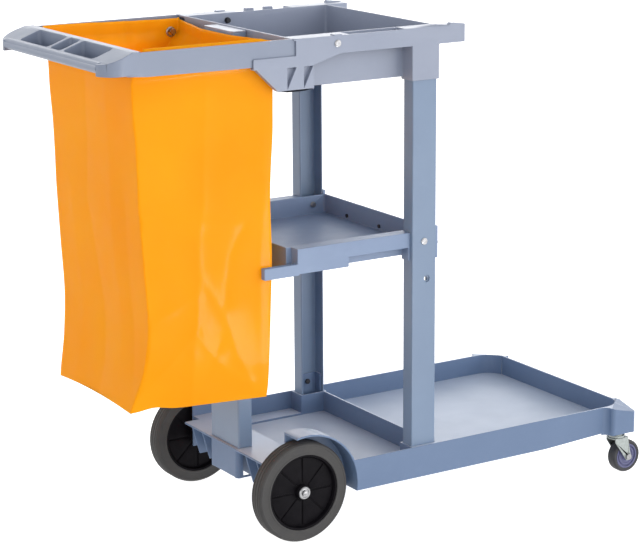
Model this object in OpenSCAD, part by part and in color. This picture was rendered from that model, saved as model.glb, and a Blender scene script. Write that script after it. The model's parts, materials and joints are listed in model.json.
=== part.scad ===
// Janitor cart: a wheeled base with a rear deck and a front platform, three posts,
// a mid shelf, a top tray, and a bag frame whose rear end is the push handle.
// +X runs from the push handle to the front platform, +Z is up, the near side is -Y.
// Stations along X are counted from the rear axle, then moved so that the origin
// lies on the floor under the middle of the cart.

/* [Rear wheels] */
// Diameter of the rear wheels
wheel_d = 200; // [186:1:216]
// Width of the rear tyres
wheel_w = 36; // [30:1:40]
// Diameter of the plastic hub that carries the tyre
hub_d = 152; // [136:1:166]
// Diameter of the steel axle
axle_d = 12; // [10:0.5:14]
// Number of ribs on the face of each hub
hub_ribs = 8; // [5:1:10]
// Distance of the wheel's outer face inside the base skirt
wheel_inset = 6; // [4:1:10]

/* [Casters] */
// Diameter of the front caster wheels
caster_d = 70; // [62:1:74]
// Width of the caster wheels
caster_w = 24; // [20:1:26]
// Distance from the swivel axis to the wheel axle
caster_trail = 20; // [16:1:24]
// Diameter of the threaded caster stem
stem_d = 10; // [8:0.5:12]
// Diameter of the caster's axle bolt
caster_bolt_d = 8; // [6:0.5:9]
// Distance of the swivel axis behind the front wall
caster_back = 27; // [22:1:32]
// Distance of the swivel axis outside the base skirt
caster_out = 5; // [2:1:8]

/* [Base] */
// Width over the base skirts
base_w = 468; // [440:1:500]
// Deck length behind the rear axle
deck_rear = 52; // [48:1:58]
// Distance from the rear axle to the front wall
deck_front = 797; // [760:1:840]
// Wall thickness of the base moulding
wall = 4; // [3:0.5:5]
// Height of the deck floor above the axle
floor_over_axle = 4; // [2:1:8]
// Height of the rim above the deck floor
rim_h = 43; // [38:1:50]
// Height of the skirt on the outside
skirt_h = 64; // [58:1:70]
// Height of the raised rear plate above the axle
plate_over_axle = 49; // [46:1:54]
// Half width of the raised rear plate behind the fenders
plate_half_w = 158; // [150:1:170]
// Front end of the raised rear plate ahead of the axle
plate_front = 40; // [32:1:60]
// Gap between the rear wheel and its fender
fender_gap = 13; // [9:1:16]
// Distance of the fender's centre ahead of the axle
fender_lead = 6; // [0:1:8]
// How far the fender reaches behind the axle
fender_back = 18; // [10:1:30]

/* [Posts] */
// Distance from the axle to the corner posts' rear face
post_x = 254; // [240:1:270]
// Width of a corner post along the cart
post_w = 56; // [50:1:60]
// Depth of a corner post across the cart
post_d = 32; // [28:1:36]
// Wall thickness of the posts
post_t = 3.5; // [3:0.5:5]
// Length of a corner post
post_len = 820; // [780:1:860]
// Depth of the corner post's foot inside the base
foot_depth = 28; // [20:1:34]
// Distance of the corner posts' outer face inside the base skirt
post_inset = 10; // [8:1:14]
// Width of the rear post across the cart
rear_post_w = 112; // [96:1:118]
// Depth of the rear post along the cart
rear_post_d = 32; // [26:1:34]

/* [Top tray] */
// Height of the tray from its post sockets to its rim
tray_h = 101; // [94:1:110]
// Depth of the post sockets under the tray
socket_depth = 58; // [50:1:64]
// Wall of the post sockets
socket_wall = 3; // [2.5:0.5:4]
// Height of the rim band around the tray
band_h = 34; // [30:1:38]
// Thickness of the tray's walls
tray_wall = 4; // [3:0.5:5]
// Distance of the tray's rear face behind the axle
tray_rear = 14; // [10:1:18]
// Length of the tool arms ahead of the sockets
arm_len = 60; // [50:1:70]
// Length of the bag frame ledges behind the tray
ledge_len = 86; // [76:1:92]

/* [Mid shelf] */
// Height of the shelf's rim above the base rim
shelf_rise = 435; // [380:1:480]
// Height of the shelf's walls
shelf_h = 49; // [44:1:56]
// Distance of the shelf's flange inside the posts' outer face
shelf_inset = 8; // [6:1:12]
// Length of the shelf's side arms behind its rear face
shelf_arm_len = 62; // [50:1:70]

/* [Bag frame] */
// Height of the side rails
rail_h = 47; // [42:1:50]
// Thickness of the side rails
rail_t = 6; // [5:0.5:8]
// Distance from the axle to the inner edge of the caddy
caddy_inner = 328; // [310:1:345]
// Length of the caddy from its inner edge to the grip
caddy_len = 76; // [72:1:90]
// How far the caddy reaches outside the rails on each side
caddy_over = 7.5; // [6:0.5:14]
// Depth of the caddy's pockets
pocket_depth = 17; // [12:1:18]
// Length of the two long pockets
pocket_long = 122; // [100:1:128]
// Length of the middle pocket
pocket_short = 44; // [30:1:50]
// Width of the pockets along the cart
pocket_w = 44; // [36:1:46]
// Diameter of the grip bar
grip_d = 21; // [18:1:24]

/* [Bag] */
// Height of the waste bag
bag_h = 676; // [620:1:700]
// Wall thickness of the bag
bag_t = 2; // [1.5:0.5:3]
// Clear gap between the bag and the rails
bag_gap = 9.5; // [8:0.5:12]
// How far the bag's sides draw in at the bottom
bag_taper = 30; // [10:1:40]
// Diameter of the eyelets' holes
eyelet_d = 14; // [13:1:16]

/* [Fasteners] */
// Diameter of the bolts
bolt_d = 6; // [5:0.5:8]
// Diameter of the round bolt heads
bolt_head_d = 14; // [12:1:16]
// Diameter of the spare accessory hole in the corner posts
spare_hole_d = 9; // [7:0.5:11]

/* [Hidden] */
$fn = 48;
eps = 0.5;
run_gap = 0.05;
move_gap = 0.4;
fit_gap = 0.2;
seat_gap = 0.02;

// Heights
axle_z = wheel_d / 2;
floor_z = axle_z + floor_over_axle;
rim_z = floor_z + rim_h;
skirt_z = rim_z - skirt_h;
plate_z = axle_z + plate_over_axle;
foot_z = rim_z - foot_depth;
post_top_z = foot_z + post_len;
socket_z = post_top_z - socket_depth;
tray_z = socket_z + tray_h;
band_z = tray_z - band_h;
deep_band_z = band_z - 17;
tray_floor_z = socket_z + 9;
rear_post_top_z = tray_z - 5;
shelf_z = rim_z + shelf_rise;
shelf_bottom_z = shelf_z - shelf_h;
shelf_floor_z = shelf_bottom_z + 10;
shelf_band_z = shelf_z - 30;

// Positions across the cart, as distances from the middle plane
base_y = base_w / 2;
wheel_face_y = base_y - wheel_inset;
wheel_in_y = wheel_face_y - wheel_w;
fender_in_y = wheel_in_y - 8;
post_y = base_y - post_inset;
post_in_y = post_y - post_d;
tray_y = post_y + socket_wall;
basin_y = post_in_y;
shelf_y = post_y - shelf_inset;
skirt_t = 3.5;
rail_y = tray_y - skirt_t;
rail_in_y = rail_y - rail_t;
bag_y = rail_in_y - bag_gap;
caddy_half_w = rail_y + caddy_over;

// Stations along the cart, from the rear axle
post_x1 = post_x + post_w;
divider_x = post_x1;
tray_x0 = -tray_rear;
tray_x1 = post_x1 + 12;
arm_x = post_x1 + socket_wall + arm_len;
rear_post_x0 = tray_x0 - rear_post_d;
caddy_x = -caddy_inner;
grip_x = caddy_x - caddy_len;
caster_x = deck_front - caster_back;
caster_y = base_y + caster_out;
caster_r = caster_d / 2;
cart_front_x = caster_x + caster_trail + caster_r;
mid_x = (grip_x + cart_front_x) / 2;

// Caster stack from the floor up to the housing
crown_gap = 6.5;
crown_t = 3;
race_h = 7.5;
crown_z = caster_d + crown_gap;
race_z = crown_z + crown_t;
housing_z = race_z + race_h;

tray_grey = [0.63, 0.66, 0.74];
post_grey = [0.56, 0.64, 0.74];
base_blue = [0.49, 0.56, 0.70];
bag_orange = [1.0, 0.62, 0.08];
rubber_grey = [0.33, 0.32, 0.31];
hub_black = [0.09, 0.09, 0.10];
steel = [0.75, 0.76, 0.76];
zinc = [0.65, 0.69, 0.67];
hub_violet = [0.43, 0.41, 0.57];
dark = [0.12, 0.12, 0.13];

// Moves stations counted from the axle to the cart's own origin
module placed() {
  translate([-mid_x, 0, 0]) children();
}

// The same shape on the near and on the far side
module both_sides() {
  children();
  mirror([0, 1, 0]) children();
}

module far_side() {
  mirror([0, 1, 0]) children();
}

module box(low, high) {
  translate(low) cube(high - low);
}

// A cylinder along Y from y0 to y1
module rod_y(x, z, r, y0, y1) {
  translate([x, y0, z]) rotate([-90, 0, 0]) cylinder(r = r, h = y1 - y0);
}

// A cylinder along X from x0 to x1
module rod_x(y, z, r, x0, x1) {
  translate([x0, y, z]) rotate([0, 90, 0]) cylinder(r = r, h = x1 - x0);
}

module rod_z(x, y, r, z0, z1) {
  translate([x, y, z0]) cylinder(r = r, h = z1 - z0);
}

// A rectangle with round corners, from two corner points
module round_rect(low, high, r) {
  translate(low + [r, 0]) square([high[0] - low[0] - 2 * r, high[1] - low[1]]);
  translate(low + [0, r]) square([high[0] - low[0], high[1] - low[1] - 2 * r]);
  for (x = [low[0] + r, high[0] - r], y = [low[1] + r, high[1] - r])
    translate([x, y]) circle(r = r);
}

module round_box(low, high, r) {
  translate([0, 0, low[2]])
    linear_extrude(high[2] - low[2])
      round_rect([low[0], low[1]], [high[0], high[1]], r);
}

// A profile drawn in X and Z, thickened along Y from y0 to y1
module profile_xz(points, y0, y1) {
  translate([0, y1, 0])
    rotate([90, 0, 0])
      linear_extrude(y1 - y0) polygon(points);
}

// Base

fender_t = wall;
fender_r = axle_z + fender_gap + fender_t;
housing_rear = 24;
housing_front = 40;
housing_in = 42;
housing_out = 15;
corner_fall = 15;
fall_start = 24;
fall_run = 43;
boss_in_y = post_in_y - wall - fit_gap;
gutter_h = 4;
plate_rib_edge = 28;
plate_rib_pitch = 42;
under_rib_pitch_x = 120;
under_rib_pitch_y = 64;
skirt_rise_len = 150;

// Free space round a rear wheel, open to the outside
module wheel_space() {
  rod_y(fender_lead, axle_z, fender_r - fender_t, -base_y - housing_out, -fender_in_y - wall);
}

module fender() {
  intersection() {
    rod_y(fender_lead, axle_z, fender_r, -base_y, -fender_in_y);
    box([-fender_back, -base_y, skirt_z], [2 * fender_r, -fender_in_y, axle_z + fender_r + eps]);
  }
}

// Plan outline of a caster housing: it wraps the outside of the platform's corner,
// with coves where it leaves the walls and a round inner corner
module housing_plan() {
  cove = 14;
  inner_r = 44;
  x0 = caster_x - housing_rear;
  x1 = caster_x + housing_front;
  y0 = -caster_y - housing_out;
  y1 = -caster_y + housing_in;
  corner = [deck_front - wall, -base_y + wall];
  difference() {
    union() {
      round_rect([x0, y0], [x1, y1], 9);
      translate([x0 - cove, -base_y - cove]) square([cove + eps, cove + eps]);
      translate([deck_front - eps, y1 - eps]) square([cove + eps, cove + eps]);
    }
    translate([x0 - cove, -base_y - cove]) circle(r = cove);
    translate([deck_front + cove, y1 + cove]) circle(r = cove);
    translate([x0 - eps, corner[1]]) square([corner[0] - inner_r - x0 + eps, housing_in]);
    translate([x0 - eps, corner[1] + inner_r]) square([corner[0] - x0 + eps, housing_in]);
    translate(corner + [-inner_r, inner_r]) circle(r = inner_r);
  }
}

module housing() {
  difference() {
    translate([0, 0, housing_z]) linear_extrude(rim_z - housing_z) housing_plan();
    rod_z(caster_x, -caster_y, stem_d / 2 + run_gap, housing_z - 1, stem_top_z + 1);
  }
}

// What is cut off above a front corner: the rim falls away towards the outside
module corner_slope() {
  reach = 2 * fall_start;
  translate([deck_front, -base_y, 0]) rotate([0, 0, -45]) profile_xz([
    [-fall_start, rim_z],
    [reach, rim_z - corner_fall * (reach + fall_start) / fall_run],
    [reach, rim_z + 1],
    [-fall_start, rim_z + 1]
  ], -2 * reach, 2 * reach);
}

stem_top_z = housing_z + 34;

module post_boss() {
  box([post_x - wall - fit_gap, -base_y, floor_z - wall], [post_x1 + wall + fit_gap, -boss_in_y, rim_z]);
}

module post_pocket() {
  box([post_x - fit_gap, -post_y - fit_gap, foot_z], [post_x1 + fit_gap, -post_in_y + fit_gap, rim_z + eps]);
}

// Ribs that carry the raised plate over the axle
module plate_ribs() {
  rib_low_z = axle_z - 14;
  for (i = [0:1]) {
    y = plate_half_w - plate_rib_edge - i * plate_rib_pitch;
    profile_xz([
      [-deck_rear + 2, plate_z - wall],
      [-deck_rear + 19, rib_low_z],
      [plate_front - wall, rib_low_z],
      [plate_front - wall, plate_z - wall]
    ], -y - wall / 2, -y + wall / 2);
  }
}

module skirt_side() {
  lift_x = caster_x - housing_rear - 14;
  profile_xz([
    [0, skirt_z],
    [lift_x - skirt_rise_len, skirt_z],
    [lift_x, housing_z + 3],
    [deck_front, housing_z + 3],
    [deck_front, rim_z],
    [0, rim_z]
  ], -base_y, -base_y + wall);
}

module base_shell() {
  box([plate_front - wall, -base_y, floor_z - wall], [deck_front, base_y, floor_z]);
  box([-deck_rear, -plate_half_w, plate_z - wall], [plate_front, plate_half_w, plate_z]);
  box([-fender_back, -fender_in_y, plate_z - wall], [plate_front, fender_in_y, plate_z]);
  box([plate_front - wall, -fender_in_y, floor_z - wall], [plate_front, fender_in_y, plate_z]);
  box([divider_x - wall, -base_y, floor_z - wall], [divider_x, base_y, rim_z]);
  box([deck_front - wall, -base_y, housing_z + 3], [deck_front, base_y, rim_z]);
  both_sides() {
    skirt_side();
    fender();
    post_boss();
    housing();
    plate_ribs();
    box([fender_lead + fender_r - 2, -base_y, floor_z - wall], [divider_x, -boss_in_y, floor_z + gutter_h]);
  }
  under_ribs();
}

// Stiffening ribs under the floor
module under_ribs() {
  rib_z = skirt_z + 6;
  for (i = [-1.5:1.5]) {
    y = i * under_rib_pitch_y;
    box([plate_front, y - wall / 2, rib_z], [deck_front - wall, y + wall / 2, floor_z - wall]);
  }
  for (i = [1:3]) {
    x = divider_x + i * under_rib_pitch_x;
    box([x - wall / 2, -base_y + wall, rib_z], [x + wall / 2, base_y - wall, floor_z - wall]);
  }
}

module base_tray() {
  color(base_blue) placed() difference() {
    base_shell();
    both_sides() {
      wheel_space();
      post_pocket();
      corner_slope();
    }
    rod_y(0, axle_z, axle_d / 2 + fit_gap, -base_y, base_y);
    rear_post_bolt_holes(plate_z - wall - eps, plate_z + eps);
  }
}

// Corner posts

spare_hole_drop = 95;
spare_hole_z = shelf_z - spare_hole_drop;
shelf_bolt_z = shelf_z - 19;
rail_bolt_x = 82;
rail_bolt_z = tray_z - 15;
wing_bolt_z = shelf_z - 26;
foot_bolt_z = rim_z + 20;
post_mid_x = post_x + post_w / 2;
wing_bolt_y = post_y - 12;
spare_ring = 4;
spare_hole_x = post_x + post_w / 2 + 6;

// A channel whose open side faces the middle of the cart
module corner_post() {
  difference() {
    union() {
      difference() {
        round_box([post_x, -post_y, foot_z], [post_x1, -post_in_y, post_top_z], 2.5);
        box([post_x + post_t, -post_y + post_t, foot_z - eps],
            [post_x1 - post_t, -post_in_y + eps, post_top_z + eps]);
      }
      rod_y(spare_hole_x, spare_hole_z, spare_hole_d / 2 + spare_ring, -post_y + 2, -post_y + post_t + 3);
      rod_y(post_mid_x, shelf_bolt_z, bolt_d / 2 + spare_ring, -post_y + 2, -post_y + post_t + 3);
    }
    rod_y(spare_hole_x, spare_hole_z, spare_hole_d / 2, -post_y - eps, -post_y + post_t + 4);
    rod_y(spare_hole_x, spare_hole_z, spare_hole_d / 2 + 3, -post_y - eps, -post_y + 2.5);
    rod_y(post_mid_x, shelf_bolt_z, bolt_d / 2 + fit_gap, -post_y - eps, -post_y + post_t + 4);
    rod_x(-wing_bolt_y, wing_bolt_z, bolt_d / 2 + fit_gap, post_x1 - post_t - eps, post_x1 + eps);
    foot_bolt_hole();
  }
}

module corner_post_near() {
  color(post_grey) placed() corner_post();
}

module corner_post_far() {
  color(post_grey) placed() far_side() corner_post();
}

// A short clip inside each post's foot, screwed to the post's web
foot_clip_h = 36;
foot_web_skin = 1.2;

module foot_bolt_hole() {
  rod_y(post_mid_x, foot_bolt_z, bolt_d / 2 + fit_gap, -post_y + foot_web_skin, -post_in_y);
}

module foot_clips() {
  y0 = -post_y + post_t;
  z1 = foot_bolt_z + foot_clip_h / 2;
  side_y = -post_in_y - 6;
  color(base_blue) placed() both_sides() difference() {
    union() {
      box([post_x + post_t, y0, foot_z], [post_x1 - post_t, y0 + wall, z1]);
      for (x = [post_x + post_t, post_x1 - post_t - wall])
        box([x, y0, foot_z], [x + wall, side_y, z1]);
    }
    foot_bolt_hole();
  }
}

module foot_bolts() {
  y0 = -post_y + post_t + wall;
  color(dark) placed() both_sides() {
    rod_y(post_mid_x, foot_bolt_z, bolt_d / 2, -post_y + foot_web_skin + fit_gap, y0 + 1);
    translate([post_mid_x, y0, foot_bolt_z]) rotate([-90, 0, 0])
      cylinder(d = bolt_d * 2, h = 5, $fn = 6);
  }
}

// Rear post and the block that carries the axle

rear_y = rear_post_w / 2;
rear_bolt_y = 34;
block_low_z = axle_z - 13;
block_front = 18;
block_corner = 10;

module rear_post() {
  color(post_grey) placed() difference() {
    round_box([rear_post_x0, -rear_y, plate_z], [tray_x0, rear_y, rear_post_top_z], 4);
    box([rear_post_x0 + post_t, -rear_y + post_t, plate_z + wall],
        [tray_x0 - post_t, rear_y - post_t, rear_post_top_z + eps]);
    rear_post_bolt_holes(plate_z - eps, plate_z + wall + eps);
    rear_wall_bolt_holes();
  }
}

// Closes the rear post's top
module rear_post_cap() {
  lip = 12;
  color(tray_grey) placed() {
    round_box([rear_post_x0, -rear_y, rear_post_top_z], [tray_x0, rear_y, rear_post_top_z + 3], 4);
    box([rear_post_x0 + post_t + fit_gap, -rear_y + post_t + fit_gap, rear_post_top_z - lip],
        [tray_x0 - post_t - fit_gap, rear_y - post_t - fit_gap, rear_post_top_z]);
  }
}

rear_mid_x = rear_post_x0 + rear_post_d / 2;
rear_wall_bolt_zs = [tray_z - 52, shelf_bottom_z + 28];

module rear_post_bolt_holes(z0, z1) {
  for (y = [-rear_bolt_y, rear_bolt_y])
    rod_z(rear_mid_x, y, bolt_d / 2 + fit_gap, z0, z1);
}

module rear_wall_bolt_holes() {
  for (y = [-rear_bolt_y, rear_bolt_y], z = rear_wall_bolt_zs)
    rod_x(y, z, bolt_d / 2 + fit_gap, tray_x0 - post_t - eps, tray_x0 + tray_wall + 2);
}

module axle_block() {
  color(base_blue) placed() difference() {
    round_box([rear_post_x0 - 4, -rear_y, block_low_z], [block_front, rear_y, plate_z - wall], block_corner);
    rod_y(0, axle_z, axle_d / 2 + fit_gap, -rear_y - eps, rear_y + eps);
    box([rear_post_x0 + block_corner, -rear_y - eps, block_low_z + wall],
        [-axle_d - wall, rear_y + eps, plate_z - 2 * wall - 6]);
    box([rear_post_x0 + wall, -rear_y + wall, block_low_z - eps],
        [-axle_d - wall, rear_y - wall, plate_z - 2 * wall - 6]);
    rear_post_bolt_holes(plate_z - 2 * wall - 8, plate_z);
  }
}

// Bolts from the rear post into the block, and from the tray and shelf into the rear post
module rear_post_bolts() {
  low_z = plate_z - 2 * wall - 5;
  color(steel) placed() {
    for (y = [-rear_bolt_y, rear_bolt_y]) {
      rod_z(rear_mid_x, y, bolt_d / 2, low_z, plate_z + wall + 1);
      rod_z(rear_mid_x, y, bolt_head_d / 2, plate_z + wall, plate_z + wall + 4);
      for (z = rear_wall_bolt_zs) {
        rod_x(y, z, bolt_d / 2, tray_x0 - post_t - 5, tray_x0 + tray_wall + 1);
        rod_x(y, z, bolt_head_d / 2, tray_x0 + tray_wall, tray_x0 + tray_wall + 3);
        translate([tray_x0 - post_t - 5, y, z]) rotate([0, 90, 0])
          cylinder(d = bolt_d * 1.9, h = 5, $fn = 6);
      }
    }
  }
}

// Top tray

gusset_z = socket_z + 6;
ledge_x = tray_x0 - ledge_len;
rail_end_x = rail_bolt_x + 22;
gusset_front = 30;
gusset_in_y = rail_in_y - 3;
lip_end_x = tray_x0 + 5;
tongue_z0 = band_z + 1;
tongue_z1 = tray_z - skirt_t;
tab_h = 4;
channel_depth = 14;
channel_x0 = rail_bolt_x + 28;
channel_x1 = post_x - 17;
tooth_w = 19;
notch_first = 32;
notch_w = 26;
tooth_xs = [channel_x0 + notch_first, channel_x0 + notch_first + tooth_w + notch_w];
ledge_t = 4;
ledge_z = tray_z - rail_h - ledge_t;

// Outer skirt of the rim band, deeper over the bag frame's brackets
module tray_skirt() {
  profile_xz([
    [lip_end_x, deep_band_z],
    [gusset_front, deep_band_z],
    [gusset_front + 60, band_z],
    [arm_x, band_z],
    [arm_x, tray_z],
    [lip_end_x, tray_z]
  ], -tray_y, -tray_y + skirt_t);
  profile_xz([
    [ledge_x, ledge_z],
    [lip_end_x, ledge_z],
    [lip_end_x, ledge_z + 20],
    [ledge_x, ledge_z + 20]
  ], -tray_y, -tray_y + skirt_t);
  box([ledge_x, -tray_y, ledge_z], [gusset_front, -gusset_in_y, ledge_z + ledge_t]);
}

// Gusset under the ledge with two triangular pockets
module gusset() {
  pocket_len = 20;
  difference() {
    union() {
      profile_xz([
        [ledge_x + 6, ledge_z],
        [ledge_x + 52, gusset_z],
        [gusset_front, gusset_z],
        [gusset_front, ledge_z]
      ], -tray_y, -gusset_in_y);
      box([tray_x0, -gusset_in_y - eps, gusset_z], [gusset_front, -basin_y, ledge_z]);
    }
    for (x = [-28, 8])
      profile_xz([
        [x, gusset_z + 3],
        [x + pocket_len, ledge_z - 1],
        [x, ledge_z - 1]
      ], -tray_y - eps, -tray_y + 9);
  }
}

module tray_socket() {
  x0 = post_x - socket_wall - fit_gap;
  x1 = post_x1 + socket_wall + fit_gap;
  box([x0, -tray_y, socket_z], [x1, -basin_y + tray_wall, tray_z]);
}

module tray_arm() {
  x0 = post_x1;
  difference() {
    box([x0, -tray_y, band_z], [arm_x, -basin_y, tray_z]);
    box([x0 - eps, -tray_y + skirt_t, band_z - eps], [arm_x - skirt_t, -basin_y - skirt_t, tray_z - skirt_t]);
  }
  profile_xz([
    [arm_x - 37, tray_z - eps],
    [arm_x - 34, tray_z + tab_h + 1],
    [arm_x, tray_z + 1],
    [arm_x, tray_z - eps]
  ], -tray_y, -tray_y + 10);
}

// Rim top: flat over the bag frame, then a sunken channel up to the post socket
module tray_rim() {
  low_z = tray_z - channel_depth;
  box([tray_x0, -tray_y, tray_z - skirt_t], [channel_x0, -basin_y, tray_z]);
  box([channel_x0 - skirt_t, -tray_y, low_z - skirt_t], [channel_x0, -basin_y, tray_z]);
  box([channel_x0 - skirt_t, -tray_y, low_z - skirt_t], [post_x, -basin_y, low_z]);
  box([channel_x1, -tray_y, low_z - skirt_t], [post_x, -basin_y, tray_z]);
  round_box([rail_bolt_x - 9, -tray_y, tray_z - skirt_t], [rail_bolt_x + 11, -tray_y + 14, tray_z + 2], 3);
}

// Tool notches in the far rim, with two teeth between them
module rim_notches() {
  low_z = tray_z - channel_depth;
  difference() {
    box([channel_x0, -tray_y - eps, low_z], [channel_x1, -tray_y + skirt_t + eps, tray_z + eps]);
    for (x = tooth_xs)
      box([x, -tray_y - 2, low_z - 1], [x + tooth_w, -tray_y + 10, tray_z + 2]);
  }
}

module rim_teeth() {
  for (x = tooth_xs)
    box([x, -tray_y, tray_z - channel_depth - eps], [x + tooth_w, -tray_y + 12, tray_z + 2]);
}

module tray_side() {
  tray_skirt();
  gusset();
  tray_socket();
  tray_arm();
  tray_rim();
}

module tray_basin() {
  difference() {
    box([tray_x0, -basin_y, tray_floor_z - tray_wall], [tray_x1, basin_y, tray_z]);
    round_box([tray_x0 + tray_wall, -basin_y + tray_wall, tray_floor_z],
              [tray_x1 - tray_wall, basin_y - tray_wall, tray_z + eps], 5);
  }
}

module top_tray() {
  color(tray_grey) placed() difference() {
    union() {
      tray_basin();
      tray_side();
      far_side() difference() {
        tray_side();
        rim_notches();
      }
      far_side() rim_teeth();
    }
    both_sides() {
      box([post_x - fit_gap, -post_y - fit_gap, socket_z - eps],
          [post_x1 + fit_gap, -post_in_y + fit_gap, post_top_z]);
      box([ledge_x - eps, -rail_y, ledge_z + ledge_t], [lip_end_x, -rail_in_y, tray_z + eps]);
      box([lip_end_x - eps, -rail_y, tongue_z0], [rail_end_x, -rail_in_y, tongue_z1]);
      rod_y(rail_bolt_x, rail_bolt_z, bolt_d / 2 + fit_gap, -tray_y - eps, -basin_y + tray_wall + eps);
    }
    rear_wall_bolt_holes();
  }
}

// Mid shelf

shelf_x0 = tray_x0;
shelf_x1 = post_x1 + 6;
shelf_basin_y = post_in_y - fit_gap;
shelf_block_front = 112;
shelf_arm_z = shelf_bottom_z - 2;
wing_z = shelf_z + 8;
wing_low_z = shelf_bottom_z - 7;

module shelf_side() {
  y0 = -shelf_y;
  y1 = -shelf_basin_y;
  end_x = post_x - fit_gap;
  slot_x = shelf_x0 + 11;
  difference() {
    box([slot_x, y0, shelf_bottom_z], [shelf_block_front, y1, shelf_z]);
    box([slot_x + skirt_t, y0 + skirt_t, shelf_bottom_z - eps], [shelf_block_front - skirt_t, y1, shelf_z - skirt_t]);
  }
  box([shelf_block_front - eps, y0, shelf_band_z], [end_x, y0 + skirt_t, shelf_z]);
  box([shelf_block_front - eps, y0, shelf_z - skirt_t], [end_x, y1, shelf_z]);
  box([end_x - skirt_t, y0, wing_low_z], [end_x, y1, shelf_z]);
  difference() {
    box([shelf_x0 - shelf_arm_len, y0, shelf_arm_z], [slot_x + skirt_t, y0 + 12, shelf_arm_z + 22]);
    box([shelf_x0 - shelf_arm_len + skirt_t, y0 + skirt_t, shelf_arm_z + skirt_t],
        [slot_x + skirt_t + eps, y0 + 12 - skirt_t, shelf_arm_z + 22 + eps]);
  }
  box([post_x1 + fit_gap, -post_y + 2, wing_low_z], [shelf_x1, y1 + eps, wing_z]);
}

module mid_shelf() {
  color(tray_grey) placed() difference() {
    union() {
      difference() {
        box([shelf_x0, -shelf_basin_y, shelf_bottom_z], [shelf_x1, shelf_basin_y, shelf_z]);
        round_box([shelf_x0 + tray_wall, -shelf_basin_y + tray_wall, shelf_floor_z],
                  [shelf_x1 - tray_wall, shelf_basin_y - tray_wall, shelf_z + eps], 5);
        box([shelf_x0 + tray_wall, -shelf_basin_y + tray_wall, shelf_bottom_z - eps],
            [shelf_x1 - tray_wall, shelf_basin_y - tray_wall, shelf_floor_z - tray_wall]);
      }
      both_sides() shelf_side();
    }
    both_sides() {
      rod_y(post_mid_x, shelf_bolt_z, bolt_d / 2 + fit_gap, -post_y, -shelf_basin_y + tray_wall + eps);
      rod_x(-wing_bolt_y, wing_bolt_z, bolt_d / 2 + fit_gap, post_x1 - eps, shelf_x1 + eps);
    }
    rear_wall_bolt_holes();
    shelf_screw_holes();
  }
}

// Small screws low on the shelf's front wall
screw_d = 4;
screw_z = shelf_floor_z + 8;
screw_ys = [101, -20, -145];

module shelf_screw_holes() {
  for (y = screw_ys)
    rod_x(y, screw_z, screw_d / 2 + fit_gap, shelf_x1 - tray_wall - eps, shelf_x1 + eps);
}

module shelf_screws() {
  color(dark) placed() for (y = screw_ys) {
    rod_x(y, screw_z, screw_d / 2, shelf_x1 - tray_wall - 1, shelf_x1 + 4);
    rod_x(y, screw_z, screw_d, shelf_x1 - tray_wall - 2, shelf_x1 - tray_wall);
  }
}

// Bag frame: two rails and the caddy with the grip

caddy_top_z = tray_z + 2;
grip_r = grip_d / 2;
grip_z = tray_z - 15 - grip_r;
caddy_low_z = grip_z - grip_r;
pocket_x1 = caddy_x - 17;
pocket_x0 = pocket_x1 - pocket_w;
slope_x = grip_x + grip_r;
rail_low_z = tray_z - rail_h;
bend_r = 36;
bend_x = grip_x + bend_r;
bend_y = -caddy_half_w + bend_r;
rail_root = 28;
rail_rise = 3;
// The ends reach lower than the grip
end_low_z = tray_z - 39;
root_low_z = tray_z - 41;
// The caddy's walls stand in a little from the round of the grip
wall_in = 0.8;
body_half_w = caddy_half_w - wall_in;
body_low_z = caddy_low_z + wall_in;

module rail() {
  profile_xz([
    [rail_end_x - fit_gap, tongue_z0 + fit_gap],
    [rail_end_x - fit_gap, tongue_z1 - fit_gap],
    [lip_end_x - fit_gap, tongue_z1 - fit_gap],
    [lip_end_x - fit_gap, tray_z],
    [caddy_x - rail_root / 2, tray_z],
    [caddy_x - rail_root, tray_z - 8],
    [caddy_x - rail_root, root_low_z],
    [caddy_x + rail_root / 2, rail_low_z + rail_rise],
    [lip_end_x - fit_gap, rail_low_z + fit_gap],
    [lip_end_x - fit_gap, tongue_z0 + fit_gap]
  ], -rail_y + fit_gap, -rail_in_y - fit_gap);
}

// The caddy's side profile: a top that slopes down to the grip
module caddy_profile() {
  profile_xz([
    [caddy_x, end_low_z],
    [caddy_x, caddy_top_z],
    [pocket_x1, caddy_top_z],
    [slope_x, grip_z + grip_r - wall_in],
    [grip_x, grip_z + grip_r - 3],
    [grip_x, end_low_z]
  ], -caddy_half_w, caddy_half_w);
}

// The caddy from above: round corners, and ends that draw in to the rails
module caddy_plan() {
  join_y = rail_y - fit_gap - wall_in;
  polygon([
    [grip_x + wall_in, bend_y], [bend_x, -body_half_w], [caddy_x, -join_y],
    [caddy_x, join_y], [bend_x, body_half_w], [grip_x + wall_in, -bend_y]
  ]);
  for (y = [bend_y, -bend_y]) translate([bend_x, y]) circle(r = bend_r - wall_in);
}

// Room between the two ends, behind and below the pockets
module grip_room() {
  profile_xz([
    [grip_x - 1, end_low_z - 1],
    [caddy_x + 1, end_low_z - 1],
    [caddy_x + 1, body_low_z],
    [slope_x, body_low_z],
    [slope_x, caddy_top_z],
    [grip_x - 1, caddy_top_z]
  ], bend_y, -bend_y);
}

// The grip: a round bar between the two ends
module grip_bar() {
  rod_y(slope_x, grip_z, grip_r, bend_y - 1, -bend_y + 1);
}

module pocket(y0, y1) {
  floor_top = caddy_top_z - 14 - pocket_depth;
  round_box([pocket_x0, y0, floor_top], [pocket_x1, y1, caddy_top_z + eps], 8);
}

long_y0 = pocket_short / 2 + 11;

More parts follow.
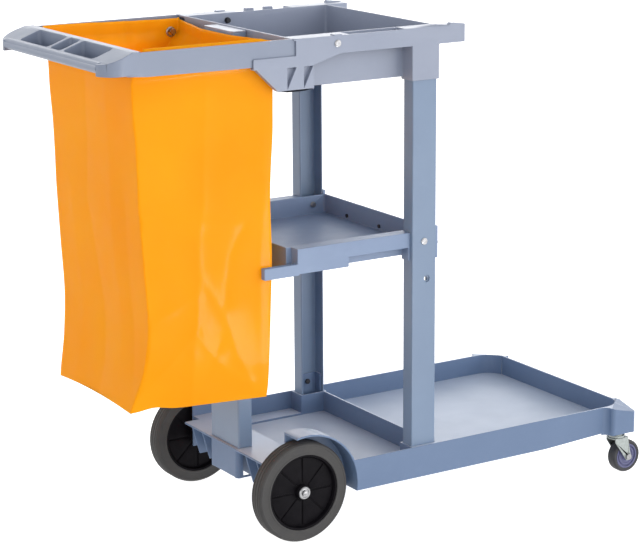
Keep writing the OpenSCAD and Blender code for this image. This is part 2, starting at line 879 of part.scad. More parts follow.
module bag_frame() {
  color(tray_grey) placed() difference() {
    union() {
      difference() {
        intersection() {
          caddy_profile();
          translate([0, 0, end_low_z - 1]) linear_extrude(rail_h) caddy_plan();
        }
        grip_room();
      }
      grip_bar();
      both_sides() rail();
    }
    pocket(-pocket_short / 2, pocket_short / 2);
    both_sides() {
      pocket(-long_y0 - pocket_long, -long_y0);
      rod_y(rail_bolt_x, rail_bolt_z, bolt_d / 2 + fit_gap, -rail_y - eps, -rail_in_y + eps);
    }
  }
}

// Bag, with eyelets that hang on pegs inside the rails

bag_top_z = tray_z - 8;
bag_low_z = bag_top_z - bag_h;
bag_front_x = rear_post_x0 - 2;
bag_mouth_x = tray_x0 - 6;
bag_waist_x = rear_post_x0 - 5;
bag_rear_x = caddy_x + 10;
waist_in_y = rear_post_w / 2 + 5;
waist_out_y = waist_in_y + 12;
peg_z = bag_top_z - 24;
peg_xs = [bag_rear_x + 30, tray_x0 - 23];
peg_d = 8;
peg_head_d = 12;
peg_len = bag_gap + bag_t + 6;

// Rings of the bag: height, rear, front, half width at the rear and at the front
bag_levels = [
  [bag_low_z, bag_rear_x - 6, bag_front_x - 12, bag_y - bag_taper - 36, bag_y - 14],
  [bag_low_z + 14, bag_rear_x - 11, bag_front_x - 9, bag_y - bag_taper - 29, bag_y - 7],
  [bag_low_z + bag_h * 0.5, bag_rear_x - 8, bag_front_x - 2, bag_y - bag_taper - 13, bag_y - 5],
  [rail_low_z - 14, bag_rear_x - 4, bag_front_x, bag_y - bag_taper + 3, bag_y - 3],
  [peg_z - 14, bag_rear_x, bag_mouth_x, bag_y, bag_y],
  [bag_top_z, bag_rear_x, bag_mouth_x, bag_y, bag_y]
];
bag_corner_r = 7;
bag_corner_steps = 4;

function arc_points(cx, cy, r, a0, steps) =
  [for (i = [0:steps]) [cx + r * cos(a0 + 90 * i / steps), cy + r * sin(a0 + 90 * i / steps)]];

// One ring of points, shrunk by t
function bag_ring(level, t) =
  let (x0 = level[1] + t, x1 = level[2] - t, yr = level[3] - t, yf = level[4] - t, r = bag_corner_r - t)
    concat(
      [[x0, 0]],
      arc_points(x0 + r, -yr + r, r, 180, bag_corner_steps),
      arc_points(x1 - r, -yf + r, r, 270, bag_corner_steps),
      [
        [x1, -waist_out_y - t],
        [min(bag_waist_x, level[2]) - t, -waist_in_y - t],
        [min(bag_waist_x, level[2]) - t, waist_in_y + t],
        [x1, waist_out_y + t]
      ],
      arc_points(x1 - r, yf - r, r, 0, bag_corner_steps),
      arc_points(x0 + r, yr - r, r, 90, bag_corner_steps)
    );

// A closed solid through rings that all have the same number of points
module loft(rings, zs) {
  n = len(rings[0]);
  m = len(rings);
  points = [for (k = [0:m - 1], p = rings[k]) [p[0], p[1], zs[k]]];
  sides = [for (k = [0:m - 2], i = [0:n - 1])
    let (a = k * n + i, b = k * n + (i + 1) % n)
      each [[a, a + n, b + n], [a, b + n, b]]];
  floor_face = [for (i = [1:n - 2]) [0, i, i + 1]];
  roof_face = [for (i = [1:n - 2]) [(m - 1) * n, (m - 1) * n + i + 1, (m - 1) * n + i]];
  polyhedron(points = points, faces = concat(sides, floor_face, roof_face), convexity = 6);
}

module waste_bag() {
  zs = [for (level = bag_levels) level[0]];
  inner_zs = [for (k = [0:len(zs) - 1]) k == 0 ? zs[0] + bag_t : (k == len(zs) - 1 ? zs[k] + eps : zs[k])];
  color(bag_orange) placed() difference() {
    loft([for (level = bag_levels) bag_ring(level, 0)], zs);
    loft([for (level = bag_levels) bag_ring(level, bag_t)], inner_zs);
    for (x = peg_xs)
      rod_y(x, peg_z, eyelet_d / 2 + 1.5, -bag_y - 5, bag_y + 5);
  }
}

// Pressed metal rings round the bag's holes
module bag_eyelets() {
  outer_r = eyelet_d / 2 + 4;
  color(steel) placed() both_sides() for (x = peg_xs) {
    difference() {
      union() {
        rod_y(x, peg_z, outer_r, -bag_y - 1.5, -bag_y);
        rod_y(x, peg_z, outer_r, -bag_y + bag_t, -bag_y + bag_t + 1.5);
        rod_y(x, peg_z, eyelet_d / 2 + 1.5 - fit_gap, -bag_y - 1.5, -bag_y + bag_t + 1.5);
      }
      rod_y(x, peg_z, eyelet_d / 2, -bag_y - 3, -bag_y + bag_t + 3);
    }
  }
}

// Pegs on the rails' inner faces
module bag_pegs() {
  color(dark) placed() both_sides() for (x = peg_xs) {
    rod_y(x, peg_z + (eyelet_d - peg_d) / 2 - fit_gap, peg_d / 2, -rail_in_y, -rail_in_y + peg_len);
    rod_y(x, peg_z + (eyelet_d - peg_d) / 2 - fit_gap, peg_head_d / 2,
          -rail_in_y + peg_len, -rail_in_y + peg_len + 4);
  }
}

// Rear wheels

hub_boss_d = 34;
bush_wall = 3;
bush_r = axle_d / 2 + bush_wall;
hub_rim_t = 7;
rib_t = 3;
tyre_edge_r = 5;
tread_grooves = 4;

axle_out = 6;

module rear_axle() {
  color(steel) placed()
    rod_y(0, axle_z, axle_d / 2, -wheel_face_y - axle_out, wheel_face_y + axle_out);
}

// Turned section of the hub, r against y, from the inner to the outer face
module hub_section() {
  half = wheel_w / 2;
  r_in = bush_r;
  r_out = hub_d / 2;
  translate([r_in, -half]) square([hub_boss_d / 2 - r_in, wheel_w]);
  translate([r_in, -3]) square([r_out - r_in, 6]);
  translate([r_out - hub_rim_t, -half + 2]) square([hub_rim_t, wheel_w - 4]);
}

module hub() {
  half = wheel_w / 2;
  mid_y = -wheel_face_y + half;
  translate([0, mid_y, axle_z]) rotate([90, 0, 0]) {
    rotate_extrude($fn = 96) hub_section();
    for (i = [0:hub_ribs - 1])
      rotate([0, 0, 360 * i / hub_ribs])
        translate([hub_boss_d / 2 - 1, -rib_t / 2, -half + 5])
          cube([hub_d / 2 - hub_rim_t - hub_boss_d / 2 + 2, rib_t, wheel_w - 10]);
  }
}

module bush() {
  difference() {
    rod_y(0, axle_z, bush_r, -wheel_face_y, -wheel_in_y);
    rod_y(0, axle_z, axle_d / 2 + run_gap, -wheel_face_y - 1, -wheel_in_y + 1);
  }
}

module tyre_section() {
  half = wheel_w / 2;
  r0 = hub_d / 2;
  r1 = axle_z;
  groove = 1.6;
  difference() {
    union() {
      translate([r0, -half]) square([r1 - r0 - tyre_edge_r, wheel_w]);
      translate([r0, -half + tyre_edge_r]) square([r1 - r0, wheel_w - 2 * tyre_edge_r]);
      for (s = [-1, 1])
        translate([r1 - tyre_edge_r, s * (half - tyre_edge_r)]) circle(r = tyre_edge_r);
    }
    for (i = [1:tread_grooves])
      translate([r1 - groove, -half + wheel_w * i / (tread_grooves + 1) - groove / 2])
        square([groove * 2, groove]);
  }
}

module tyre() {
  translate([0, -wheel_face_y + wheel_w / 2, axle_z])
    rotate([90, 0, 0]) rotate_extrude($fn = 128) tyre_section();
}

module hub_near() {
  color(hub_black) placed() hub();
}

module tyre_near() {
  color(rubber_grey) placed() tyre();
}

module bush_near() {
  color(dark) placed() bush();
}

module hub_far() {
  color(hub_black) placed() far_side() hub();
}

module tyre_far() {
  color(rubber_grey) placed() far_side() tyre();
}

module bush_far() {
  color(dark) placed() far_side() bush();
}

// Tubes on the axle between each wheel and its fender
module axle_spacers() {
  color(steel) placed() both_sides() difference() {
    rod_y(0, axle_z, axle_d / 2 + 4, -wheel_in_y + move_gap, -fender_in_y - wall);
    rod_y(0, axle_z, axle_d / 2 + fit_gap, -wheel_in_y, -fender_in_y);
  }
}

// Washer and push-on cap outside each wheel
cap_flange = 6.5;
cap_wall = 2;
cap_t = 1.3;

module axle_caps() {
  y0 = -wheel_face_y - move_gap;
  end_y = -wheel_face_y - axle_out - 2 * seat_gap;
  color(steel) placed() both_sides() difference() {
    union() {
      rod_y(0, axle_z, axle_d / 2 + cap_flange, y0 - cap_wall, y0);
      rod_y(0, axle_z, axle_d / 2 + cap_wall, end_y - cap_t, y0);
    }
    rod_y(0, axle_z, axle_d / 2 + seat_gap, end_y, y0 + eps);
  }
}

// Casters

fork_t = 2.5;
fork_gap = 1.5;
caster_axle_x = caster_x + caster_trail;
fork_in = caster_w / 2 + fork_gap;
crown_r = 19;
race_r = 17;

// Threaded stem with its head under the crown and a nut on top of the boss
module stem_shape() {
  rod_z(caster_x, -caster_y, stem_d / 2, crown_z - 3, stem_top_z);
  rod_z(caster_x, -caster_y, stem_d / 2 + 3, crown_z - 4, crown_z - move_gap);
}

module race_shape() {
  difference() {
    union() {
      rod_z(caster_x, -caster_y, race_r, race_z + move_gap, housing_z - 3);
      rod_z(caster_x, -caster_y, race_r - 4, housing_z - 3, housing_z);
    }
    rod_z(caster_x, -caster_y, stem_d / 2 + run_gap, race_z, housing_z + 1);
  }
}

// One fork leg, tapering from the crown to the axle
module fork_leg(y0) {
  top_rear = caster_x - 15;
  top_front = caster_x + 20;
  foot = 8;
  profile_xz([
    [top_rear, race_z],
    [top_rear, crown_z - 6],
    [caster_axle_x - foot, caster_r - 3],
    [caster_axle_x - foot / 2, caster_r - foot],
    [caster_axle_x + foot / 2, caster_r - foot],
    [caster_axle_x + foot, caster_r - 2],
    [top_front, crown_z - 6],
    [top_front, race_z]
  ], y0, y0 + fork_t);
}

module fork_shape() {
  difference() {
    union() {
      fork_leg(-caster_y - fork_in - fork_t);
      fork_leg(-caster_y + fork_in);
      box([caster_x - 15, -caster_y - fork_in - fork_t, crown_z], [caster_x + 20, -caster_y + fork_in + fork_t, race_z]);
      rod_z(caster_x, -caster_y, crown_r, crown_z, race_z);
    }
    rod_z(caster_x, -caster_y, stem_d / 2 + run_gap, crown_z - 1, race_z + 1);
    rod_y(caster_axle_x, caster_r, caster_bolt_d / 2 + seat_gap / 2, -caster_y - 40, -caster_y + 40);
  }
}

module bolt_shape() {
  reach = fork_in + fork_t;
  rod_y(caster_axle_x, caster_r, caster_bolt_d / 2, -caster_y - reach - 1, -caster_y + reach + 7);
  rod_y(caster_axle_x, caster_r, caster_bolt_d * 0.8, -caster_y - reach - 3.5, -caster_y - reach);
  translate([caster_axle_x, -caster_y + reach, caster_r])
    rotate([-90, 0, 0]) cylinder(d = caster_bolt_d * 1.8, h = 5.5, $fn = 6);
}

caster_hub_r = caster_r - 8.5;

module caster_hub_section() {
  half = caster_w / 2;
  r0 = caster_bolt_d / 2 + run_gap;
  translate([r0, -half - 0.8]) square([7, caster_w + 1.6]);
  translate([r0, -3]) square([caster_hub_r - r0, 6]);
  translate([caster_hub_r - 5, -half + 1]) square([5, caster_w - 2]);
}

module caster_hub_shape() {
  translate([caster_axle_x, -caster_y, caster_r])
    rotate([90, 0, 0]) rotate_extrude($fn = 64) caster_hub_section();
}

module caster_tread_section() {
  half = caster_w / 2;
  edge = 3;
  translate([caster_hub_r, -half]) square([caster_r - caster_hub_r - edge, caster_w]);
  translate([caster_hub_r, -half + edge]) square([caster_r - caster_hub_r, caster_w - 2 * edge]);
  for (s = [-1, 1])
    translate([caster_r - edge, s * (half - edge)]) circle(r = edge);
}

module caster_tread_shape() {
  translate([caster_axle_x, -caster_y, caster_r])
    rotate([90, 0, 0]) rotate_extrude($fn = 96) caster_tread_section();
}

module caster_stem_near() {
  color(steel) placed() stem_shape();
}

module caster_race_near() {
  color(zinc) placed() race_shape();
}

module caster_fork_near() {
  color(zinc) placed() fork_shape();
}

module caster_bolt_near() {
  color(steel) placed() bolt_shape();
}

module caster_hub_near() {
  color(hub_violet) placed() caster_hub_shape();
}

module caster_tread_near() {
  color(dark) placed() caster_tread_shape();
}

module caster_stem_far() {
  color(steel) placed() far_side() stem_shape();
}

module caster_race_far() {
  color(zinc) placed() far_side() race_shape();
}

module caster_fork_far() {
  color(zinc) placed() far_side() fork_shape();
}

module caster_bolt_far() {
  color(steel) placed() far_side() bolt_shape();
}

module caster_hub_far() {
  color(hub_violet) placed() far_side() caster_hub_shape();
}

module caster_tread_far() {
  color(dark) placed() far_side() caster_tread_shape();
}

// Fasteners

head_rim = 1.5;
head_rise = 2.8;

module round_head_y(x, y, z) {
  rod_y(x, z, bolt_head_d / 2, y - head_rim, y);
  rod_y(x, z, bolt_head_d / 2 - head_rim, y - head_rise, y);
}

// Bolts that hold the bag frame's rails in the tray
module rail_bolts() {
  color(steel) placed() both_sides() {
    round_head_y(rail_bolt_x, -tray_y, rail_bolt_z);
    rod_y(rail_bolt_x, rail_bolt_z, bolt_d / 2, -tray_y - 1, -basin_y + tray_wall + 5);
  }
}

module rail_nuts() {
  y0 = -basin_y + tray_wall;
  color(dark) placed() both_sides() difference() {
    union() {
      rod_y(rail_bolt_x, rail_bolt_z, bolt_d, y0, y0 + 3);
      rod_y(rail_bolt_x, rail_bolt_z, bolt_d * 0.8, y0, y0 + 7);
    }
    rod_y(rail_bolt_x, rail_bolt_z, bolt_d / 2 + seat_gap, y0 - 1, y0 + 5.5);
  }
}

// Bolts through the corner posts into the shelf
module shelf_bolts() {
  color(steel) placed() both_sides() {
    round_head_y(post_mid_x, -post_y, shelf_bolt_z);
    rod_y(post_mid_x, shelf_bolt_z, bolt_d / 2, -post_y - 1, -shelf_basin_y + tray_wall + 5);
  }
}

module shelf_nuts() {
  y0 = -shelf_basin_y + tray_wall;
  color(steel) placed() both_sides() difference() {
    union() {
      rod_y(post_mid_x, shelf_bolt_z, bolt_d, y0, y0 + 2);
      translate([post_mid_x, y0, shelf_bolt_z]) rotate([-90, 0, 0]) cylinder(d = bolt_d * 1.8, h = 6, $fn = 6);
    }
    rod_y(post_mid_x, shelf_bolt_z, bolt_d / 2 + seat_gap, y0 - 1, y0 + 5);
  }
}

// Bolts through the shelf's front wings into the corner posts
module wing_bolts() {
  color(steel) placed() both_sides() {
    rod_x(-wing_bolt_y, wing_bolt_z, bolt_d / 2, post_x1 - post_t - 6, shelf_x1 + 1);
    rod_x(-wing_bolt_y, wing_bolt_z, bolt_head_d / 2 - 1, shelf_x1, shelf_x1 + 3);
    translate([post_x1 - post_t - 5, -wing_bolt_y, wing_bolt_z])
      rotate([0, 90, 0]) cylinder(d = bolt_d * 1.8, h = 5, $fn = 6);
  }
}

base_tray();
corner_post_near();
corner_post_far();
rear_post();
axle_block();
mid_shelf();
top_tray();
bag_frame();
waste_bag();
bag_eyelets();
bag_pegs();
rear_axle();
axle_spacers();
axle_caps();
hub_near();
tyre_near();
bush_near();
hub_far();
tyre_far();
bush_far();
caster_stem_near();
caster_race_near();
caster_fork_near();
caster_bolt_near();
caster_hub_near();
caster_tread_near();
caster_stem_far();
caster_race_far();
caster_fork_far();
caster_bolt_far();
caster_hub_far();
caster_tread_far();
rail_bolts();
rail_nuts();
shelf_bolts();
shelf_nuts();
wing_bolts();
foot_clips();
foot_bolts();
rear_post_bolts();
rear_post_cap();
shelf_screws();
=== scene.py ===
# %% [markdown]
# # A janitor cart, dressed in Blender
# The solids of the cart come from its CAD model and stay where they are. This lesson
# gives them what a solid model lacks: the soft edges of moulded plastic, a tyre with
# grooves, a bag that hangs and creases, and finishes with grain and wear.
# Everything is in metres, but the lists of small sizes are in millimetres. +X runs from
# the push handle to the front platform, +Z is up, and the near side of the cart is -Y.

# %% Load the solids
import json
import math

import bmesh
import bpy
from mathutils import Matrix, Vector, noise


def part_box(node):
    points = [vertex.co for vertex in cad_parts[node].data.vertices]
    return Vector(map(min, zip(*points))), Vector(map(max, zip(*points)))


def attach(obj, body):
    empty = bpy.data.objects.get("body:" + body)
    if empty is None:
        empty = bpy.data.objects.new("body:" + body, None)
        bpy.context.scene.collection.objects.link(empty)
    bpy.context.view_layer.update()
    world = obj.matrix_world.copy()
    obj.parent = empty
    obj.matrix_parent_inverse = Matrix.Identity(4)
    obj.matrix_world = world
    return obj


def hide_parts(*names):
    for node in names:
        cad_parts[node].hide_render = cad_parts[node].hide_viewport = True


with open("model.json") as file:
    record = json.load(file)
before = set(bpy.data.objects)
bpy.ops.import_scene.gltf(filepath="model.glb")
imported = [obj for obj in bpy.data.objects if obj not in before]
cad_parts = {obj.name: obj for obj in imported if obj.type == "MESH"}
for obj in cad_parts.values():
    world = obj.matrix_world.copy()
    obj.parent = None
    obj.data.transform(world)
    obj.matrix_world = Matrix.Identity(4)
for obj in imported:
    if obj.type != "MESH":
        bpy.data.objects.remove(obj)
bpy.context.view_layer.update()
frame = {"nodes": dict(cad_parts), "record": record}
MM = 0.001
axle_low, axle_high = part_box("rear_axle")
axle_x = (axle_low.x + axle_high.x) / 2
axle_z = (axle_low.z + axle_high.z) / 2
print("solids", len(frame["nodes"]), "rear axle at", round(axle_x, 4), round(axle_z, 4))

# %% [markdown]
# ## The camera
# A long lens looks down on the cart from behind its near rear corner. A camera could be
# pointed with a Track To constraint, but its roll then stays level. Here the three axes of
# the camera are worked out from its turn, tilt and roll, and set as one matrix.

# %% Place the camera
PHOTO_WIDTH, SENSOR_WIDTH = 640, 36.0
FOCAL_PIXELS = 2158.9
# The camera's angles in degrees, and its place in metres
TURN, TILT, ROLL = 32.005, 13.893, -0.375
FROM_AXLE_X, CAMERA_Y, CAMERA_Z = -2.0679, -3.5991, 1.5185

camera_data = bpy.data.cameras.new("cart_camera")
camera_data.sensor_fit = "HORIZONTAL"
camera_data.sensor_width = SENSOR_WIDTH
camera_data.lens = FOCAL_PIXELS * SENSOR_WIDTH / PHOTO_WIDTH
camera_data.clip_end = 50.0
camera = bpy.data.objects.new("cart_camera", camera_data)
bpy.context.scene.collection.objects.link(camera)
turn, tilt, roll = (math.radians(angle) for angle in (TURN, TILT, ROLL))
ahead = Vector(
    (math.sin(turn) * math.cos(tilt), math.cos(turn) * math.cos(tilt), -math.sin(tilt))
)
level = Vector((math.cos(turn), -math.sin(turn), 0.0))
lift = level.cross(ahead)
right = level * math.cos(roll) + lift * math.sin(roll)
up = lift * math.cos(roll) - level * math.sin(roll)
stand_point = Matrix.Translation((axle_x + FROM_AXLE_X, CAMERA_Y, CAMERA_Z))
camera.matrix_world = stand_point @ Matrix((right, up, -ahead)).transposed().to_4x4()
bpy.context.scene.camera = camera
print("lens", round(camera_data.lens, 2), "mm")

# %% [markdown]
# ## Small tools for node trees
# Every finish and the light of the room are trees of nodes. They could be wired one node
# at a time, but the same few steps come back in each: a noise, a value mapped to another
# range, a sum, a ramp of colours. Each of these gets a short function here, so that a
# finish below reads as a recipe.


# %% Nodes by name
def add_node(tree, kind, inputs=None, **settings):
    """A node with its settings, and numbers or links for its inputs."""
    made = tree.nodes.new(kind)
    for key, value in settings.items():
        setattr(made, key, value)
    for key, value in (inputs or {}).items():
        if isinstance(value, bpy.types.NodeSocket):
            tree.links.new(value, made.inputs[key])
        else:
            made.inputs[key].default_value = value
    return made


def start_finish(name, roughness=0.5, metallic=0.0):
    """A new material, its node tree and shader, and its Object coordinates."""
    finish = bpy.data.materials.new(name)
    finish.use_nodes = True
    tree = finish.node_tree
    shader = tree.nodes["Principled BSDF"]
    shader.inputs["Roughness"].default_value = roughness
    shader.inputs["Metallic"].default_value = metallic
    return finish, tree, shader, add_node(tree, "ShaderNodeTexCoord").outputs["Object"]


# %% Steps that come back in each tree
def noise_at(tree, place, scale, detail):
    """A noise from 0 to 1."""
    settings = {"Vector": place, "Scale": scale, "Detail": detail}
    return add_node(tree, "ShaderNodeTexNoise", settings).outputs["Fac"]


def run_between(tree, value, low, high, start=0.0, end=1.0):
    """A value that runs from start to end as another runs from low to high."""
    run = {"Value": value, "From Min": low, "From Max": high, "To Min": start, "To Max": end}
    return add_node(tree, "ShaderNodeMapRange", run).outputs["Result"]


def compute(tree, operation, *values):
    """One step of arithmetic."""
    numbers = dict(enumerate(values))
    return add_node(tree, "ShaderNodeMath", numbers, operation=operation).outputs["Value"]


def colour_mix(tree, share, first, second):
    """Two colours mixed by a share."""
    sockets = {"Factor": share, "A": first, "B": second}
    return add_node(tree, "ShaderNodeMix", sockets, data_type="RGBA").outputs["Result"]


def colour_ramp(tree, factor, stops):
    """A colour ramp with its stops as (position, (r, g, b))."""
    ramp = add_node(tree, "ShaderNodeValToRGB", {"Fac": factor})
    band = ramp.color_ramp
    while len(band.elements) < len(stops):
        band.elements.new(0.5)
    for element, (position, rgb) in zip(band.elements, stops):
        element.position = position
        element.color = (*rgb, 1.0)
    return ramp.outputs["Color"]


def grain_bump(tree, shader, height, strength, distance):
    """Bend the light on a surface by a fine height."""
    sockets = {"Height": height, "Strength": strength, "Distance": distance}
    skin = add_node(tree, "ShaderNodeBump", sockets)
    tree.links.new(skin.outputs["Normal"], shader.inputs["Normal"])


# %% [markdown]
# ## Floor and light
# The cart stands on a plain white sweep. A big plane does for the floor: it glows a
# little, so that it stays white to the edge of the picture, and still takes the soft
# shadow under the wheels. Bounced rays don't see it, so its glow doesn't light the cart.
# The light is a white room. Many softboxes could stand round the cart, but a room made in
# the world's own nodes is smoother: each wall has one brightness low down, one higher up
# and one below the floor, and a backdrop behind the cart adds to them. One large softbox
# hangs above. A long strip beside the cart is there for the gloss alone: it draws the
# bright patch on the coated cloth.

# %% The floor
FLOOR_HALF, FLOOR_GLOW = 12.0, 0.92
FLOOR_DULL, FLOOR_BRIGHT = (0.60, 0.60, 0.60), (0.63, 0.63, 0.63)

floor_finish, tree, shader, place = start_finish("white_sweep", roughness=0.9)
speckle = colour_ramp(
    tree, noise_at(tree, place, 3.0, 2.0), [(0.3, FLOOR_DULL), (0.7, FLOOR_BRIGHT)]
)
tree.links.new(speckle, shader.inputs["Base Color"])
shader.inputs["Emission Color"].default_value = (1.0, 1.0, 1.0, 1.0)
shader.inputs["Emission Strength"].default_value = FLOOR_GLOW
floor_mesh = bpy.data.meshes.new("floor")
floor_build = bmesh.new()
bmesh.ops.create_grid(floor_build, x_segments=1, y_segments=1, size=FLOOR_HALF)
floor_build.to_mesh(floor_mesh)
floor_build.free()
floor = bpy.data.objects.new("floor", floor_mesh)
bpy.context.scene.collection.objects.link(floor)
floor_mesh.materials.append(floor_finish)
floor.visible_diffuse = False
floor.visible_glossy = False
print("floor", round(floor.dimensions.x, 1), "m wide")

# %% The room
# Brightness of the near, far, rear and front walls, low, high and below the floor
LOW_WALLS = (2.1, 1.35, 0.5, 1.55)
HIGH_WALLS = (0.3, 0.25, 0.0, 1.0)
BELOW_FLOOR = (0.4, 0.85, 0.0, 1.15)
BACKDROP = 0.7
# Where one runs into the next, as the upward or forward part of a direction
LOW_TO_HIGH, BELOW_TO_LOW = (0.1, 0.55), (-0.03, 0.03)
BACKDROP_SIDE, BACKDROP_TOP = (0.68, 0.92), (0.35, 0.7)

world = bpy.data.worlds.new("white_room")
world.use_nodes = True
sky = world.node_tree
facing = add_node(sky, "ShaderNodeTexCoord").outputs["Generated"]
axes = add_node(sky, "ShaderNodeSeparateXYZ", {"Vector": facing})
east, north, height = (axes.outputs[letter] for letter in "XYZ")


def four_walls(near, far, rear, front):
    """Brightness by direction: from near to far, plus from rear to front."""
    across = run_between(sky, north, -1.0, 1.0, near, far)
    return compute(sky, "ADD", across, run_between(sky, east, -1.0, 1.0, rear, front))


def from_to(start, end, share):
    """A brightness on the way from start to end."""
    change = compute(sky, "SUBTRACT", end, start)
    return compute(sky, "ADD", start, compute(sky, "MULTIPLY", change, share))


walls = from_to(
    four_walls(*LOW_WALLS), four_walls(*HIGH_WALLS), run_between(sky, height, *LOW_TO_HIGH)
)
forward = compute(
    sky, "ADD",
    compute(sky, "MULTIPLY", east, math.sin(turn)), compute(sky, "MULTIPLY", north, math.cos(turn)),
)
backdrop = compute(
    sky, "MULTIPLY",
    run_between(sky, forward, *BACKDROP_SIDE, 0.0, BACKDROP),
    run_between(sky, height, *BACKDROP_TOP, 1.0, 0.0),
)
upper = compute(sky, "ADD", walls, backdrop)
room = from_to(four_walls(*BELOW_FLOOR), upper, run_between(sky, height, *BELOW_TO_LOW))
sky.nodes["Background"].inputs["Color"].default_value = (1.0, 1.0, 1.0, 1.0)
sky.links.new(room, sky.nodes["Background"].inputs["Strength"])
bpy.context.scene.world = world
bpy.context.scene.view_settings.view_transform = "Standard"
print("room nodes", len(sky.nodes))

# %% Softboxes
OVERHEAD_PLACE, OVERHEAD_AIM = Vector((0.1, 0.1, 3.2)), Vector((0.0, 0.0, 0.3))
OVERHEAD_SIZE, OVERHEAD_POWER = (3.0, 2.4), 4.6
STRIP_PLACE, STRIP_TURN = (0.82, -2.4, 0.02), 32.0
STRIP_SIZE, STRIP_POWER = (0.34, 3.2), 55.0


def softbox(name, place, angles, size, power):
    """An area light at a place, turned by angles, that the camera itself doesn't see."""
    data = bpy.data.lights.new(name, "AREA")
    data.shape = "RECTANGLE"
    data.size, data.size_y = size
    data.energy = power
    lamp = bpy.data.objects.new(name, data)
    bpy.context.scene.collection.objects.link(lamp)
    lamp.location = place
    lamp.rotation_euler = angles
    lamp.visible_camera = False
    return lamp


facing_down = (OVERHEAD_AIM - OVERHEAD_PLACE).to_track_quat("-Z", "Y").to_euler()
softbox("overhead_box", OVERHEAD_PLACE, facing_down, OVERHEAD_SIZE, OVERHEAD_POWER)
facing_up = (math.pi, 0.0, math.radians(STRIP_TURN))
gloss_strip = softbox("gloss_strip", STRIP_PLACE, facing_up, STRIP_SIZE, STRIP_POWER)
gloss_strip.visible_diffuse = False

# %% [markdown]
# ## Moulded plastic
# The tray, posts, base, shelf and bag frame are injection mouldings in one blue-grey, each
# from its own batch, so the greys differ a little. A flat colour would look like paint.
# Three noises do the work: a broad one for the uneven tint of filled plastic, a stretched
# one for rub marks, and a fine one for the grain of the mould, which only bends the light.
# The base also has a thin pale film where it lies level, so its floors are paler than
# its walls: partly dust, and partly a painted reflection of the bright light above.

# %% Plastic finishes
# The pale tint of level faces is dust with a painted reflection of the light above.
LEVEL_DUST_AND_REFLECTION_TINT = (0.455, 0.525, 0.65, 1.0)
CLOUD_SCALE, RUB_SCALE, PIT_SCALE = 7.0, (30.0, 42.0, 42.0), 900.0
GRAIN_DEPTH = 0.4 * MM


def moulded_plastic(name, dull, bright, roughness, dust):
    """Filled plastic: uneven tint, rub marks, fine grain, and where it lies level a pale film of
    dust and painted reflection.
    """
    finish, tree, shader, place = start_finish(name)
    cloud = noise_at(tree, place, CLOUD_SCALE, 5.0)
    tint = colour_ramp(tree, cloud, [(0.32, dull), (0.68, bright)])
    stretched = add_node(tree, "ShaderNodeMapping", {"Vector": place, "Scale": RUB_SCALE})
    rubs = noise_at(tree, stretched.outputs["Vector"], 1.0, 8.0)
    pale = tuple(min(1.0, c * 1.25 + 0.02) for c in bright)
    worn = colour_mix(tree, run_between(tree, rubs, 0.58, 0.8, 0.0, 0.12), tint, (*pale, 1.0))
    facing = add_node(tree, "ShaderNodeTexCoord").outputs["Normal"]
    upward = add_node(tree, "ShaderNodeSeparateXYZ", {"Vector": facing}).outputs["Z"]
    # Level faces get the pale film: partly dust, partly a painted reflection of the light above.
    level_dust_and_reflection = run_between(tree, upward, 0.97, 0.995, 0.0, dust)
    dust_and_reflection_film = compute(tree, "MULTIPLY", level_dust_and_reflection, run_between(tree, cloud, 0.35, 0.65, 0.8, 1.0))
    tree.links.new(colour_mix(tree, dust_and_reflection_film, worn, LEVEL_DUST_AND_REFLECTION_TINT), shader.inputs["Base Color"])
    sheen = run_between(tree, rubs, 0.3, 0.7, roughness + 0.03, roughness - 0.03)
    tree.links.new(sheen, shader.inputs["Roughness"])
    grain_bump(tree, shader, noise_at(tree, place, PIT_SCALE, 2.0), 0.12, GRAIN_DEPTH)
    return finish


# For a slot or a single piece: dull tint, bright tint, roughness, and the share of the pale film of
# dust and painted reflection on level faces
PLASTICS = {
    "tray_plastic": ((0.236, 0.267, 0.352), (0.258, 0.289, 0.374), 0.36, 0.0),
    "post_plastic": ((0.158, 0.219, 0.325), (0.172, 0.238, 0.347), 0.34, 0.0),
    "base_plastic": ((0.104, 0.161, 0.276), (0.118, 0.178, 0.298), 0.44, 0.9),
    "mid_shelf": ((0.165, 0.227, 0.357), (0.179, 0.246, 0.381), 0.48, 0.0),
    "bag_frame": ((0.189, 0.222, 0.302), (0.207, 0.241, 0.321), 0.38, 0.0),
}
finishes = {
    name: moulded_plastic(f"{name}_finish", *values) for name, values in PLASTICS.items()
}
print("plastics", sorted(finishes))

# %% [markdown]
# ## Rubber, metal and the small plastics
# Rubber is dark and dull with dust in its grain. The wheel hubs are black plastic, and the
# caster wheels a violet grey. Each could have a tree of its own, but they differ only in
# tint, dullness and grain, so one recipe serves all four. The plated parts are true
# metals: their roughness varies, and cells of crystal mottle them as plating does.

# %% Rubber and small plastics
RUBBER_GRAIN = 700.0


def dusty_finish(name, dark, dusty, roughness, scale, bump, gloss):
    """A dull finish whose pale dust follows a noise."""
    finish, tree, shader, place = start_finish(name)
    shader.inputs["Specular IOR Level"].default_value = gloss
    dust = noise_at(tree, place, scale, 6.0)
    tint = colour_ramp(tree, dust, [(0.35, dark), (0.72, dusty)])
    tree.links.new(tint, shader.inputs["Base Color"])
    dull = run_between(tree, dust, 0.3, 0.7, roughness - 0.06, roughness + 0.08)
    tree.links.new(dull, shader.inputs["Roughness"])
    grain_bump(tree, shader, noise_at(tree, place, RUBBER_GRAIN, 2.0), bump, GRAIN_DEPTH)
    return finish


